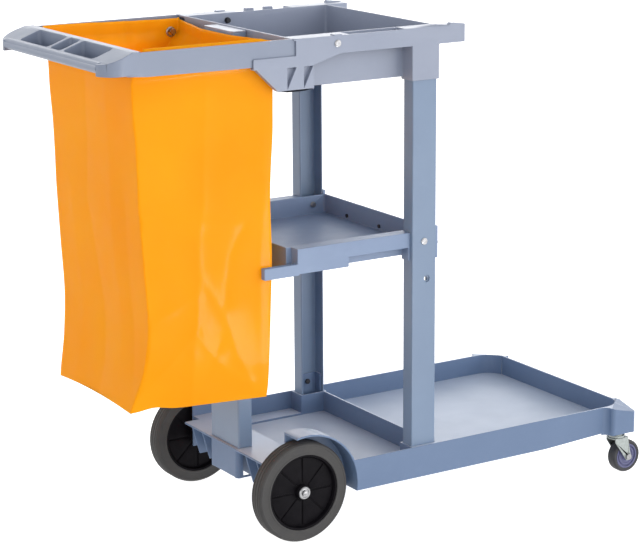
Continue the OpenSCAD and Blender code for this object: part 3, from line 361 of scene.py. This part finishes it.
# For each slot: dark tint, dusty tint, roughness, scale of the dust, grain and gloss
DUSTY = {
    "tyre_rubber": ((0.034, 0.033, 0.034), (0.050, 0.048, 0.047), 0.7, 40.0, 0.25, 0.5),
    "caster_rubber": ((0.022, 0.022, 0.027), (0.045, 0.045, 0.052), 0.6, 60.0, 0.2, 0.5),
    "hub_plastic": ((0.004, 0.0035, 0.005), (0.008, 0.007, 0.009), 0.5, 50.0, 0.15, 0.06),
    "caster_hub": ((0.092, 0.096, 0.200), (0.120, 0.124, 0.245), 0.4, 60.0, 0.08, 0.5),
}
for name, values in DUSTY.items():
    finishes[name] = dusty_finish(f"{name}_finish", *values)
print("dusty finishes", sorted(DUSTY))

# %% Metals
CRYSTAL_SCALE, BLOTCH_SCALE = 220.0, 90.0


def plated_metal(name, grey, roughness, mottle):
    """Plated steel: a true metal with uneven roughness and a faint mottle."""
    finish, tree, shader, place = start_finish(name, metallic=1.0)
    cells = add_node(tree, "ShaderNodeTexVoronoi", {"Vector": place, "Scale": CRYSTAL_SCALE})
    blotch = noise_at(tree, place, BLOTCH_SCALE, 5.0)
    mixed = add_node(
        tree, "ShaderNodeMix", {"Factor": 0.5, "A": cells.outputs["Distance"], "B": blotch},
        data_type="FLOAT",
    )
    dark = tuple(c * (1.0 - mottle) for c in grey)
    light = tuple(min(1.0, c * (1.0 + mottle)) for c in grey)
    tint = colour_ramp(tree, mixed.outputs["Result"], [(0.2, dark), (0.7, light)])
    tree.links.new(tint, shader.inputs["Base Color"])
    dull = run_between(tree, blotch, 0.3, 0.7, roughness - 0.08, roughness + 0.1)
    tree.links.new(dull, shader.inputs["Roughness"])
    return finish


# For each slot: grey, roughness and mottle
METALS = {
    "steel": ((0.36, 0.36, 0.37), 0.30, 0.10),
    "zinc": ((0.36, 0.39, 0.38), 0.42, 0.14),
    "dark_metal": ((0.055, 0.055, 0.06), 0.45, 0.15),
}
for name, values in METALS.items():
    finishes[name] = plated_metal(f"{name}_finish", *values)
node_slot = {row["node"]: row["material_slot"] for row in frame["record"]["subparts"]}
for node_name, node in frame["nodes"].items():
    if node_slot[node_name] in finishes:
        node.data.materials.clear()
        node.data.materials.append(finishes[node_slot[node_name]])
print("finishes", sorted(finishes))

# %% [markdown]
# ## Soft edges on the mouldings
# No moulding has a knife edge: it would chip, and the plastic could not fill it. A Bevel
# modifier rounds edges, but one width for all of them either swells over the thin ribs or
# is too small on the long rims. So each sharp edge gets its own weight: the width that its
# two faces have room for, up to the radius asked. The short edges round a hole stay hard,
# because a bevel there would run into its neighbours, and the pieces with broad flat sides
# keep even their slight creases hard. Weighted normals then hold the broad faces flat.
# The solid's own mesh is left alone, and a merged copy of it is rounded.

# %% Room for a bevel
SIDEWAYS, FASTENER_SPREAD = 0.6, 100 * MM


def edge_room(edge, sharp_edges):
    """How wide a bevel the faces beside an edge have room for."""
    room = 1.0
    along = (edge.verts[1].co - edge.verts[0].co).normalized()
    for face in edge.link_faces:
        for corner in edge.verts:
            for side in corner.link_edges:
                if side is edge or face not in side.link_faces:
                    continue
                far_end = side.other_vert(corner)
                reach = far_end.co - corner.co
                across = along.cross(reach.normalized()).length
                if across < SIDEWAYS and side in sharp_edges:
                    continue
                shared = any(e in sharp_edges and e is not side for e in far_end.link_edges)
                room = min(room, reach.length * across * (0.5 if shared else 1.0))
    return room


def is_fastener(node_name):
    """Bolts, pegs and other small pieces, whose short edges are rounded too."""
    spread = max(frame["nodes"][node_name].dimensions)
    return spread < FASTENER_SPREAD or "bolts" in node_name or "pegs" in node_name


print("fasteners", [name for name in frame["nodes"] if is_fastener(name)])

# %% Stand a piece in for a solid
node_body = {
    name: body for body, names in frame["record"]["behaviour"]["bodies"].items() for name in names
}


def stand_in(name, build, node_name):
    """Turn a bmesh into a piece that stands for a solid and rides on its body."""
    mesh = bpy.data.meshes.new(name)
    build.to_mesh(mesh)
    build.free()
    piece = bpy.data.objects.new(name, mesh)
    bpy.context.scene.collection.objects.link(piece)
    mesh.materials.append(finishes.get(node_name, finishes[node_slot[node_name]]))
    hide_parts(node_name)
    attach(piece, node_body[node_name])
    return piece


# %% Round the edges of a copied solid
SHARP, SLIGHT = math.radians(28.0), math.radians(4.0)
CAD_MERGE, RIM_EDGE = 0.02 * MM, 2.2 * MM
ROOM_USED, LEAST_SHARE = 0.7, 0.12


def softened_copy(node_name, radius, crease):
    """A merged copy of a solid whose sharp edges are rounded as far as there is room."""
    build = bmesh.new()
    build.from_mesh(frame["nodes"][node_name].data)
    bmesh.ops.remove_doubles(build, verts=build.verts, dist=CAD_MERGE)
    weights = build.edges.layers.float.new("bevel_weight_edge")
    angles = {e: e.calc_face_angle() for e in build.edges if len(e.link_faces) == 2}
    shortest = 0.0 if is_fastener(node_name) else RIM_EDGE
    sharp_edges = {
        edge for edge, angle in angles.items() if angle > SHARP and edge.calc_length() > shortest
    }
    for edge in build.edges:
        edge.smooth = angles.get(edge, math.pi) < crease
        if edge in sharp_edges:
            share = min(1.0, ROOM_USED * edge_room(edge, sharp_edges) / radius)
            if share >= LEAST_SHARE:
                edge[weights] = share
                edge.smooth = True
    rounded = sum(edge[weights] > 0.0 for edge in build.edges)
    for face in build.faces:
        face.smooth = True
    piece = stand_in(node_name + "_moulding", build, node_name)
    bevel = piece.modifiers.new("soft_edges", "BEVEL")
    bevel.limit_method = "WEIGHT"
    bevel.width = radius
    bevel.segments = 2
    bevel.profile = 0.5
    bevel.use_clamp_overlap = False
    level_faces = piece.modifiers.new("flat_faces", "WEIGHTED_NORMAL")
    level_faces.keep_sharp = True
    print(piece.name, "edges rounded", rounded)


# %% Round the mouldings and fasteners
EDGE_RADIUS = {
    "base_tray": 1.2, "corner_post_near": 1.6, "corner_post_far": 1.6, "rear_post": 2.5,
    "axle_block": 2.0, "mid_shelf": 1.2, "top_tray": 1.2, "bag_frame": 1.6,
    "rear_post_cap": 1.5, "caster_fork_near": 0.8, "caster_fork_far": 0.8,
    "caster_bolt_near": 0.8, "caster_bolt_far": 0.8, "foot_clips": 0.8, "rail_bolts": 1.2,
    "shelf_bolts": 1.2, "wing_bolts": 0.8, "foot_bolts": 0.8, "rear_post_bolts": 0.8,
    "shelf_screws": 0.8, "bag_pegs": 1.0,
}
FLAT_SIDED = {"top_tray", "mid_shelf", "corner_post_near", "corner_post_far"}
for node_name, radius in EDGE_RADIUS.items():
    softened_copy(node_name, radius * MM, SLIGHT if node_name in FLAT_SIDED else SHARP)

# %% [markdown]
# ## The rear wheels
# Each wheel is a grey rubber tyre on a black plastic hub, and both are round about the
# axle. Cylinders and booleans could make them, but a lathe is the plain way: one half of
# the section is drawn, mirrored and spun about the axle. The outline's corners are rounded
# before the spin, so no bevel is needed after it. The hub's face is eight raised panels
# with narrow channels between them, cut as flat sectors, extruded and bevelled.

# %% Outlines for the lathe
SIDE_SHARE = 0.45


def in_metres(points):
    """An outline in metres from one in millimetres."""
    return [(r * MM, w * MM) for r, w in points]


def mirrored(half):
    """A closed outline from the half of it on one side of the middle."""
    return half + [(r, -w) for r, w in reversed(half)]


def round_corners(points, radius, arc):
    """A closed outline with every corner rounded as far as its two sides allow."""
    rounded = []
    count = len(points)
    for index, corner in enumerate(points):
        corner = Vector(corner)
        before = Vector(points[index - 1]) - corner
        after = Vector(points[(index + 1) % count]) - corner
        reach = min(radius, SIDE_SHARE * before.length, SIDE_SHARE * after.length)
        start = corner + before.normalized() * reach
        end = corner + after.normalized() * reach
        for step in range(arc + 1):
            t = step / arc
            rounded.append((1 - t) ** 2 * start + 2 * t * (1 - t) * corner + t * t * end)
    return rounded


def middle_of(node_name):
    """The middle of a solid's box."""
    low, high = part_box(node_name)
    return (low + high) / 2


print("middle of the near tyre", [round(v, 4) for v in middle_of("tyre_near")])

# %% A lathe for round pieces
SEAM_MERGE = 0.001 * MM


def spin_outline(build, outline, centre, steps):
    """Spin an outline of (radius, offset along the axle) about the Y line at centre."""
    ring = [build.verts.new((centre.x + r, centre.y + w, centre.z)) for r, w in outline]
    sides = [build.edges.new(pair) for pair in zip(ring, ring[1:] + ring[:1])]
    bmesh.ops.spin(
        build, geom=ring + sides, cent=centre, axis=(0.0, 1.0, 0.0),
        angle=math.tau, steps=steps, use_merge=True,
    )


def spin_half(build, half, centre, corner, steps, arc=2):
    """Mirror half a section in millimetres, round its corners and spin it."""
    outline = round_corners(in_metres(mirrored(half)), corner * MM, arc)
    spin_outline(build, outline, centre, steps)


def turned_piece(name, build, node_name):
    """Close a lathed mesh, shade it, and let it stand for a solid."""
    bmesh.ops.remove_doubles(build, verts=build.verts, dist=SEAM_MERGE)
    bmesh.ops.recalc_face_normals(build, faces=build.faces)
    for face in build.faces:
        face.smooth = True
    for edge in build.edges:
        if len(edge.link_faces) == 2:
            edge.smooth = edge.calc_face_angle() < SHARP
    return stand_in(name, build, node_name)


# %% Tyres and hubs
TYRE_HALF = [
    (76, -18), (79, -18), (80, -17.2), (93, -17.2), (94, -18), (97, -17), (100, -13),
    (100, -9.6), (98.4, -9.4), (98.4, -8.2), (100, -8), (100, -0.8), (98.4, -0.6),
]
HUB_HALF = [
    (9.2, -18), (13, -18), (15, -16), (15.5, -8), (70.5, -7), (72, -16), (75.9, -16.5),
]
PANELS, PANEL_IN, PANEL_OUT, CHANNEL = 8, 18.0, 68.5, 1.9
PANEL_FOOT, PANEL_RISE, PANEL_EDGE = 6.9, 2.6, 0.7
OUTER_STEPS, INNER_STEPS = 8, 4


def panel_rim(centre, index, face_sign):
    """The corners of one panel: out along its outer arc and back along its inner arc."""
    outer = [(PANEL_OUT, i / OUTER_STEPS) for i in range(OUTER_STEPS + 1)]
    inner = [(PANEL_IN, i / INNER_STEPS) for i in range(INNER_STEPS, -1, -1)]
    start, end = (math.tau * (index + s) / PANELS for s in (0, 1))
    for radius, share in outer + inner:
        gap = math.asin(CHANNEL / radius)
        angle = start + gap + (end - start - 2 * gap) * share
        yield (
            centre.x + radius * MM * math.cos(angle), centre.y + face_sign * PANEL_FOOT * MM,
            centre.z + radius * MM * math.sin(angle),
        )


def hub_panels(build, centre):
    """Eight raised panels on both faces of the hub."""
    for face_sign in (-1, 1):
        for index in range(PANELS):
            rim = [build.verts.new(spot) for spot in panel_rim(centre, index, face_sign)]
            panel = build.faces.new(rim)
            raised = bmesh.ops.extrude_face_region(build, geom=[panel])["geom"]
            top = [v for v in raised if isinstance(v, bmesh.types.BMVert)]
            bmesh.ops.translate(build, verts=top, vec=(0.0, face_sign * PANEL_RISE * MM, 0.0))
            lip = [e for e in raised if isinstance(e, bmesh.types.BMEdge)]
            bmesh.ops.bevel(
                build, geom=lip, offset=PANEL_EDGE * MM, offset_type="OFFSET", affect="EDGES",
                segments=2, profile=0.5, material=-1,
            )


for side in ("near", "far"):
    build = bmesh.new()
    spin_half(build, TYRE_HALF, middle_of(f"tyre_{side}"), corner=0.8, steps=128)
    tyre = turned_piece(f"tyre_{side}_rubber", build, f"tyre_{side}")
    build = bmesh.new()
    spin_half(build, HUB_HALF, middle_of(f"hub_{side}"), corner=1.0, steps=96)
    hub_panels(build, middle_of(f"hub_{side}"))
    hub = turned_piece(f"hub_{side}_wheel", build, f"hub_{side}")
    print(tyre.name, len(tyre.data.polygons), hub.name, len(hub.data.polygons))

# %% [markdown]
# ## Axle caps and caster wheels
# A pressed cap holds each wheel on its axle: a washer with a raised rim, a dark ring round
# the axle, and the domed end. The caster wheels have a rubber tread and a plastic hub with
# rings. Stacked discs could give the steps, but not the soft curves between them, so all
# of these come off the same lathe as the wheels.

# %% Caps and caster wheels
CAP_OUTLINE = [
    (0.0, 6.8), (2.6, 6.6), (5.0, 5.6), (6.0, 4.2), (6.2, 1.4), (8.4, 1.2), (9.0, 2.9),
    (11.4, 2.9), (12.5, 1.8), (12.5, 0.2), (0.0, 0.2),
]
TREAD_HALF = [(26.6, -11), (31, -12), (33.5, -11), (35, -8)]
CASTER_HUB_HALF = [
    (4.4, -12.8), (9.5, -12.8), (10.5, -9), (15.5, -8.2), (16.5, -10), (19.5, -10),
    (20.3, -7.5), (22.5, -7.5), (23.2, -11.2), (26.5, -11.4),
]
build = bmesh.new()
for face_sign, face_y in ((-1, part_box("hub_near")[0].y), (1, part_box("hub_far")[1].y)):
    cap = [(r, face_sign * w) for r, w in in_metres(CAP_OUTLINE)]
    spin_outline(build, cap, Vector((axle_x, face_y, axle_z)), steps=48)
caps = turned_piece("axle_caps_pressed", build, "axle_caps")
for side in ("near", "far"):
    tread, hub = f"caster_tread_{side}", f"caster_hub_{side}"
    build = bmesh.new()
    spin_half(build, TREAD_HALF, middle_of(tread), corner=1.5, steps=72, arc=3)
    turned_piece(f"{tread}_rubber", build, tread)
    build = bmesh.new()
    spin_half(build, CASTER_HUB_HALF, middle_of(hub), corner=0.8, steps=72)
    turned_piece(f"{hub}_rings", build, hub)
print("caps reach", [round(v, 4) for v in caps.bound_box[0]])

# %% [markdown]
# ## The waste bag
# The bag is coated cloth, hung by eyelets from pegs inside the rails. A cloth simulation
# could drape it, but its creases would then fall anywhere. They are known here: a pressed
# fold runs down the near side, with star-shaped creases low down where the bag was folded.
# So the shell is lofted: rows of points follow the measured outline from the floor of the
# bag to its mouth, and each point moves in or out by the creases near it. The top is turned
# in as a hem.

# %% Outline of the bag
# Each level: height, rear wall, front wall, half width at the rear, half width at the front
BAG_LEVELS = [
    (298, -332, -62, 152, 196), (318, -327, -61, 158, 200), (344, -320, -60, 164, 202),
    (380, -312, -59, 171, 204), (460, -304, -56, 179, 205), (571, -309, -52, 179, 205),
    (682, -315, -54, 176, 205), (735, -316, -52, 175, 205), (807, -318, -47, 175, 205),
    (868, -322, -46, 175, 205), (905, -323, -45, 175, 205), (926, -323, -42, 177, 206),
    (938, -321, -30, 188, 207), (948, -319, -22, 203, 208), (974, -318, -18, 208, 208),
]
BOTTOM_Z, HEM_Z, MOUTH_Z = 298, 948, 974


def smooth_step(low, high, value):
    """From 0 to 1 with soft ends as a value runs from low to high."""
    t = min(1.0, max(0.0, (value - low) / (high - low)))
    return t * t * (3 - 2 * t)


def bag_level(z):
    """The outline's four numbers at a height, smoothed between the measured levels."""
    last = len(BAG_LEVELS) - 1
    index = max(i for i, level in enumerate(BAG_LEVELS) if level[0] <= z or i == 0)
    index = min(index, last - 1)
    before, start = BAG_LEVELS[max(index - 1, 0)], BAG_LEVELS[index]
    end, after = BAG_LEVELS[index + 1], BAG_LEVELS[min(index + 2, last)]
    gap = end[0] - start[0]
    t = min(1.0, (z - start[0]) / gap)
    numbers = []
    for k in range(1, 5):
        leave = (end[k] - before[k]) / (end[0] - before[0]) * gap
        meet = (after[k] - start[k]) / (after[0] - start[0]) * gap
        numbers.append(
            (2 * t**3 - 3 * t**2 + 1) * start[k] + (t**3 - 2 * t**2 + t) * leave
            + (3 * t**2 - 2 * t**3) * end[k] + (t**3 - t**2) * meet
        )
    return numbers


print("outline at the mouth", bag_level(MOUTH_Z))

# %% Points round the bag
WAIST_X, WAIST_IN, WAIST_OUT = -51.0, 57.0, 200.0
BAG_SIDES = {"near": 46, "front": 60, "far": 46, "rear": 56}
CORNER_STEPS, CORNER_R = 4, 3.0


def outward(run):
    """The way out of the bag beside a side that runs round it."""
    return Vector((run.y, -run.x))


def bag_ring(z):
    """Points round the bag at a height: (side, place along it, point, way out)."""
    rear, front, rear_y, front_y = bag_level(z)
    corners = [(rear, -rear_y), (front, -front_y), (front, front_y), (rear, rear_y)]
    corners = [Vector(corner) for corner in corners]
    ring = []
    for k, (name, steps) in enumerate(BAG_SIDES.items()):
        start, end = corners[k], corners[(k + 1) % 4]
        run = (end - start).normalized()
        out = outward(run)
        first, final = start + run * CORNER_R, end - run * CORNER_R
        for i in range(steps + 1):
            spot = first.lerp(final, i / steps)
            if name == "front":
                pull = (WAIST_OUT - abs(spot.y)) / (WAIST_OUT - WAIST_IN)
                spot.x += min(0.0, WAIST_X - spot.x) * min(1.0, max(0.0, pull))
            along = spot.x if name in ("near", "far") else spot.y
            ring.append((name, along, spot, out))
        next_run = (corners[(k + 2) % 4] - end).normalized()
        begin = end + next_run * CORNER_R
        for i in range(1, CORNER_STEPS):
            t = i / CORNER_STEPS
            spot = (1 - t) ** 2 * final + 2 * t * (1 - t) * end + t * t * begin
            ring.append(("corner", 0.0, spot, out.lerp(outward(next_run), t).normalized()))
    return ring


print("points in a ring", len(bag_ring(BOTTOM_Z)))

# %% Creases of the bag
# Each crease: height of the ridge in millimetres, its reach, and its path on that side
CREASES = {
    "near": [
        (2.0, 14, [(-178, 935), (-186, 805), (-191, 679), (-202, 635), (-203, 543),
                   (-209, 437), (-215, 300)]),
        (1.0, 9, [(-324, 660), (-255, 658), (-112, 640)]),
        (0.9, 9, [(-310, 466), (-214, 445)]),
        (1.1, 8, [(-206, 515), (-285, 478)]),
        (1.6, 10, [(-196, 548), (-150, 470), (-119, 381), (-96, 330)]),
        (1.5, 10, [(-210, 445), (-256, 392), (-320, 330)]),
        (1.4, 9, [(-205, 440), (-154, 366), (-64, 300)]),
        (-1.2, 9, [(-150, 493), (-135, 590), (-108, 640)]),
        (1.0, 8, [(-216, 420), (-214, 345), (-250, 318)]),
        (-1.4, 16, [(-160, 420), (-190, 350)]),
        (1.2, 12, [(-66, 930), (-70, 700), (-78, 560), (-74, 330)]),
    ],
    "rear": [
        (1.3, 12, [(150, 817), (0, 828), (-170, 843)]),
        (0.9, 12, [(107, 644), (-22, 684)]),
        (-2.6, 34, [(20, 905), (42, 680), (10, 500), (-16, 300)]),
        (2.0, 36, [(-70, 900), (-60, 600), (-80, 330)]),
        (-1.8, 30, [(-118, 700), (-112, 500), (-140, 320)]),
        (1.6, 30, [(110, 700), (95, 500), (90, 330)]),
    ],
    "far": [
        (2.0, 14, [(-180, 935), (-192, 679), (-204, 543), (-214, 300)]),
        (1.0, 9, [(-316, 664), (-112, 646)]),
        (1.5, 10, [(-206, 445), (-316, 330)]),
        (1.5, 10, [(-198, 540), (-110, 360)]),
        (1.3, 9, [(-205, 436), (-70, 302)]),
    ],
    "front": [
        (1.8, 20, [(110, 900), (118, 620), (108, 320)]),
        (1.8, 20, [(-112, 900), (-106, 640), (-116, 320)]),
        (1.0, 10, [(190, 655), (80, 640)]),
        (1.0, 10, [(-190, 650), (-80, 660)]),
    ],
}
# Soft upright folds below the mouth: height, reach and place along the side
MOUTH_FOLDS = {
    "far": [
        (2.4, 16, -217), (-2.0, 14, -180), (2.6, 7, -138), (-2.2, 10, -122), (2.0, 14, -95),
        (-1.6, 12, -70),
    ],
    "front": [(0.8, 14, 120), (-0.7, 12, 150), (0.7, 12, -130)],
}
# Wrinkles, broad and fine: height everywhere, more of it low down, length along and up
WRINKLES = [(0.7, 1.0, 150, 240), (0.15, 0.75, 55, 70)]
WRINKLE_SEED, SEED_STEP = {"near": 3.1, "rear": 17.7, "far": 31.3, "front": 47.9}, 5
# Heights between which the low wrinkles and the creases fade and the mouth's folds begin
LOW_FADE, CREASE_TOP, FOLD_START = (380, 700), (905, 940), (780, 900)
print("creases", {side: len(lines) for side, lines in CREASES.items()})


# %% Relief of the cloth
def path_distance(spot, path):
    """How far a point lies from a path of straight pieces."""
    best = math.inf
    for start, end in zip(path, path[1:]):
        start, run = Vector(start), Vector(end) - Vector(start)
        t = min(1.0, max(0.0, (spot - start).dot(run) / run.length_squared))
        best = min(best, (spot - start - run * t).length)
    return best


def cloth_relief(name, along, z):
    """How far the cloth stands out, in millimetres, from its flat side."""
    if name == "corner":
        return 0.0
    spot = Vector((along, z))
    relief = sum(
        ridge * math.exp(-path_distance(spot, path) / reach) for ridge, reach, path in CREASES[name]
    )
    seed = WRINKLE_SEED[name]
    low = 1.0 - smooth_step(*LOW_FADE, z)
    for everywhere, low_down, length, rise in WRINKLES:
        ripple = noise.noise(Vector((along / length, z / rise, seed)))
        relief += (everywhere + low_down * low) * ripple
        seed += SEED_STEP
    relief *= 1.0 - smooth_step(*CREASE_TOP, z)
    folds = sum(
        ridge * math.exp(-(((along - x) / reach) ** 2))
        for ridge, reach, x in MOUTH_FOLDS.get(name, [])
    )
    return relief + folds * smooth_step(*FOLD_START, z)


print("ridge of the near fold", round(cloth_relief("near", -191, 679), 2), "mm")

# %% Place of each point
MOUTH_LIFT = {"near": 12.0, "rear": 3.0, "far": 3.0, "front": 0.0, "corner": 4.0}
LIFT_FROM_Z, DRAWN_UP_TO_Z = 938, 345
NEAR_LIFT_ENDS, FAR_LIFT_GROWS, FAR_LIFT_MORE = (-75.0, -40.0), (-20.0, -310.0), 2.0
LONG_ENDS, CROSS_ENDS = (-322.0, -52.0), (-172.0, 172.0)
CREASE_FADE, CREASE_MARGIN, HEM_STAND = 16.0, 6.0, 0.7
DRAWN_UP, CROSS_REACH, LONG_SPOT, LONG_REACH = 6.0, 150, 285, 28


def bottom_lift(name, along):
    """How far the bag's lower edge is drawn up between its corners, in millimetres."""
    if name in ("rear", "front"):
        return DRAWN_UP * max(0.0, 1.0 - (along / CROSS_REACH) ** 2)
    if name in ("near", "far"):
        return DRAWN_UP * math.exp(-(((along + LONG_SPOT) / LONG_REACH) ** 2))
    return 0.0


def bag_point(name, along, spot, out, z, inset=0.0):
    """A point of the bag, in metres, with its creases and its place at the mouth."""
    edge = 1.0
    if name != "corner":
        low, high = LONG_ENDS if name in ("near", "far") else CROSS_ENDS
        edge = smooth_step(0.0, CREASE_FADE, min(along - low, high - along) + CREASE_MARGIN)
    stand = cloth_relief(name, along, z) * edge - inset
    if z > HEM_Z:
        stand += HEM_STAND
    rise = MOUTH_LIFT[name] * smooth_step(LIFT_FROM_Z, MOUTH_Z, z)
    if name == "near":
        rise *= 1.0 - smooth_step(*NEAR_LIFT_ENDS, along)
    if name == "far":
        rise *= 1.0 + FAR_LIFT_MORE * smooth_step(*FAR_LIFT_GROWS, along)
    rise += bottom_lift(name, along) * (1.0 - smooth_step(BOTTOM_Z, DRAWN_UP_TO_Z, z))
    place = spot + out * stand
    return (axle_x + place.x * MM, place.y * MM, (z + rise) * MM)


print("lower edge drawn up at the rear", bottom_lift("rear", 0.0), "mm")

# %% Loft the bag
SIDE_ROWS = 104
FLOOR_ROWS = [0.92, 0.8, 0.65, 0.5, 0.35, 0.2, 0.08, 0.0]
FLOOR_CENTRE, FLOOR_Z = Vector((-196.0, 0.0)), BOTTOM_Z - 0.5
FLOOR_SAG, SAG_REACH = 4.0, 0.7
HEM_ROWS = [(0.0, 1.0), (4.0, 1.4), (12.0, 1.2), (20.0, 0.7), (25.0, 0.2)]


def floor_point(name, along, spot, share):
    """A point of the bag's floor, a share of the way from its edge to its middle."""
    flat = FLOOR_CENTRE + (spot - FLOOR_CENTRE) * (1.0 - share)
    sag = FLOOR_SAG * smooth_step(0.0, SAG_REACH, share)
    z = FLOOR_Z + bottom_lift(name, along) * (1.0 - share) - sag
    return (axle_x + flat.x * MM, flat.y * MM, z * MM)


build = bmesh.new()
rows = []
for share in FLOOR_ROWS:
    rows.append([
        build.verts.new(floor_point(name, along, spot, share))
        for name, along, spot, out in bag_ring(BOTTOM_Z)
    ])
for i in range(SIDE_ROWS + 1):
    z = BOTTOM_Z + (MOUTH_Z - BOTTOM_Z) * i / SIDE_ROWS
    rows.append([build.verts.new(bag_point(*spot, z)) for spot in bag_ring(z)])
for drop, inset in HEM_ROWS:
    z = MOUTH_Z - drop
    rows.append([build.verts.new(bag_point(*spot, z, inset)) for spot in bag_ring(z)])
for lower, upper in zip(rows, rows[1:]):
    for i, corner in enumerate(lower):
        j = (i + 1) % len(lower)
        build.faces.new((corner, lower[j], upper[j], upper[i]))
build.faces.new(rows[0][::-1])
print("bag points", len(build.verts))

# %% [markdown]
# ## Coated cloth
# The cloth is orange PVC on a woven base. Its colour is even, but handling leaves paler
# and deeper clouds, and the weave shows faintly through the coating. An image of cloth
# would give a weave too, but two crossed sine waves do it without a file. A clear coat on
# the shader gives the gloss that the creases break up, and some light passes through, as
# it does in thin coated cloth.

# %% Bag finish
DEEP_ORANGE, PALE_ORANGE = (0.99, 0.43, 0.003), (1.0, 0.485, 0.006)
THROUGH_TINT, THROUGH_SHARE = (1.0, 0.50, 0.006, 1.0), 0.36
THREAD_TURNS, WEAVE_DEPTH = 5200.0, 0.05 * MM

finish, tree, shader, place = start_finish("bag_cloth_finish")
cloud = noise_at(tree, place, 6.0, 4.0)
tint = colour_ramp(tree, cloud, [(0.3, DEEP_ORANGE), (0.7, PALE_ORANGE)])
tree.links.new(tint, shader.inputs["Base Color"])
axes = add_node(tree, "ShaderNodeSeparateXYZ", {"Vector": place})
around = compute(tree, "ADD", axes.outputs["X"], axes.outputs["Y"])
threads = [
    compute(tree, "SINE", compute(tree, "MULTIPLY", thread, THREAD_TURNS))
    for thread in (around, axes.outputs["Z"])
]
grain_bump(tree, shader, compute(tree, "MULTIPLY", *threads), 0.08, WEAVE_DEPTH)
scuffs = run_between(tree, noise_at(tree, place, 25.0, 6.0), 0.3, 0.7, 0.42, 0.58)
tree.links.new(scuffs, shader.inputs["Roughness"])
shader.inputs["Specular IOR Level"].default_value = 0.08
shader.inputs["Coat Weight"].default_value = 0.11
shader.inputs["Coat Roughness"].default_value = 0.12
glow = add_node(tree, "ShaderNodeBsdfTranslucent", {"Color": THROUGH_TINT})
cloth = add_node(
    tree, "ShaderNodeMixShader",
    {0: THROUGH_SHARE, 1: shader.outputs["BSDF"], 2: glow.outputs["BSDF"]},
)
tree.links.new(cloth.outputs["Shader"], tree.nodes["Material Output"].inputs["Surface"])
finishes["bag_cloth"] = finish
print("bag finish nodes", len(tree.nodes))

# %% Finish the bag
CLOTH_THICKNESS = 0.6 * MM
bag = turned_piece("waste_bag_cloth", build, "waste_bag")
for edge in bag.data.edges:
    edge.use_edge_sharp = False
thickness = bag.modifiers.new("cloth_thickness", "SOLIDIFY")
thickness.thickness = CLOTH_THICKNESS
thickness.offset = -1.0

# %% [markdown]
# ## Eyelets
# Plated eyelets are pressed through the hem where the pegs carry it. A torus would be too
# plump: each is a flat ring with a rolled lip on both faces of the cloth, so it is spun
# like the wheels.

# %% Press the eyelets
EYELET_R, EYELET_DEEP = 11.0, 2.2
EYELET_HALF = [(5.6, -1.0), (7.4, -EYELET_DEEP), (9.6, -2.0), (EYELET_R, -0.7)]
build = bmesh.new()
low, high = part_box("bag_eyelets")
for x in (low.x + EYELET_R * MM, high.x - EYELET_R * MM):
    for y in (low.y + EYELET_DEEP * MM, high.y - EYELET_DEEP * MM):
        centre = Vector((x, y, (low.z + high.z) / 2))
        spin_half(build, EYELET_HALF, centre, corner=0.5, steps=40)
eyelets = turned_piece("bag_eyelets_pressed", build, "bag_eyelets")
print("eyelets", len(eyelets.data.polygons))
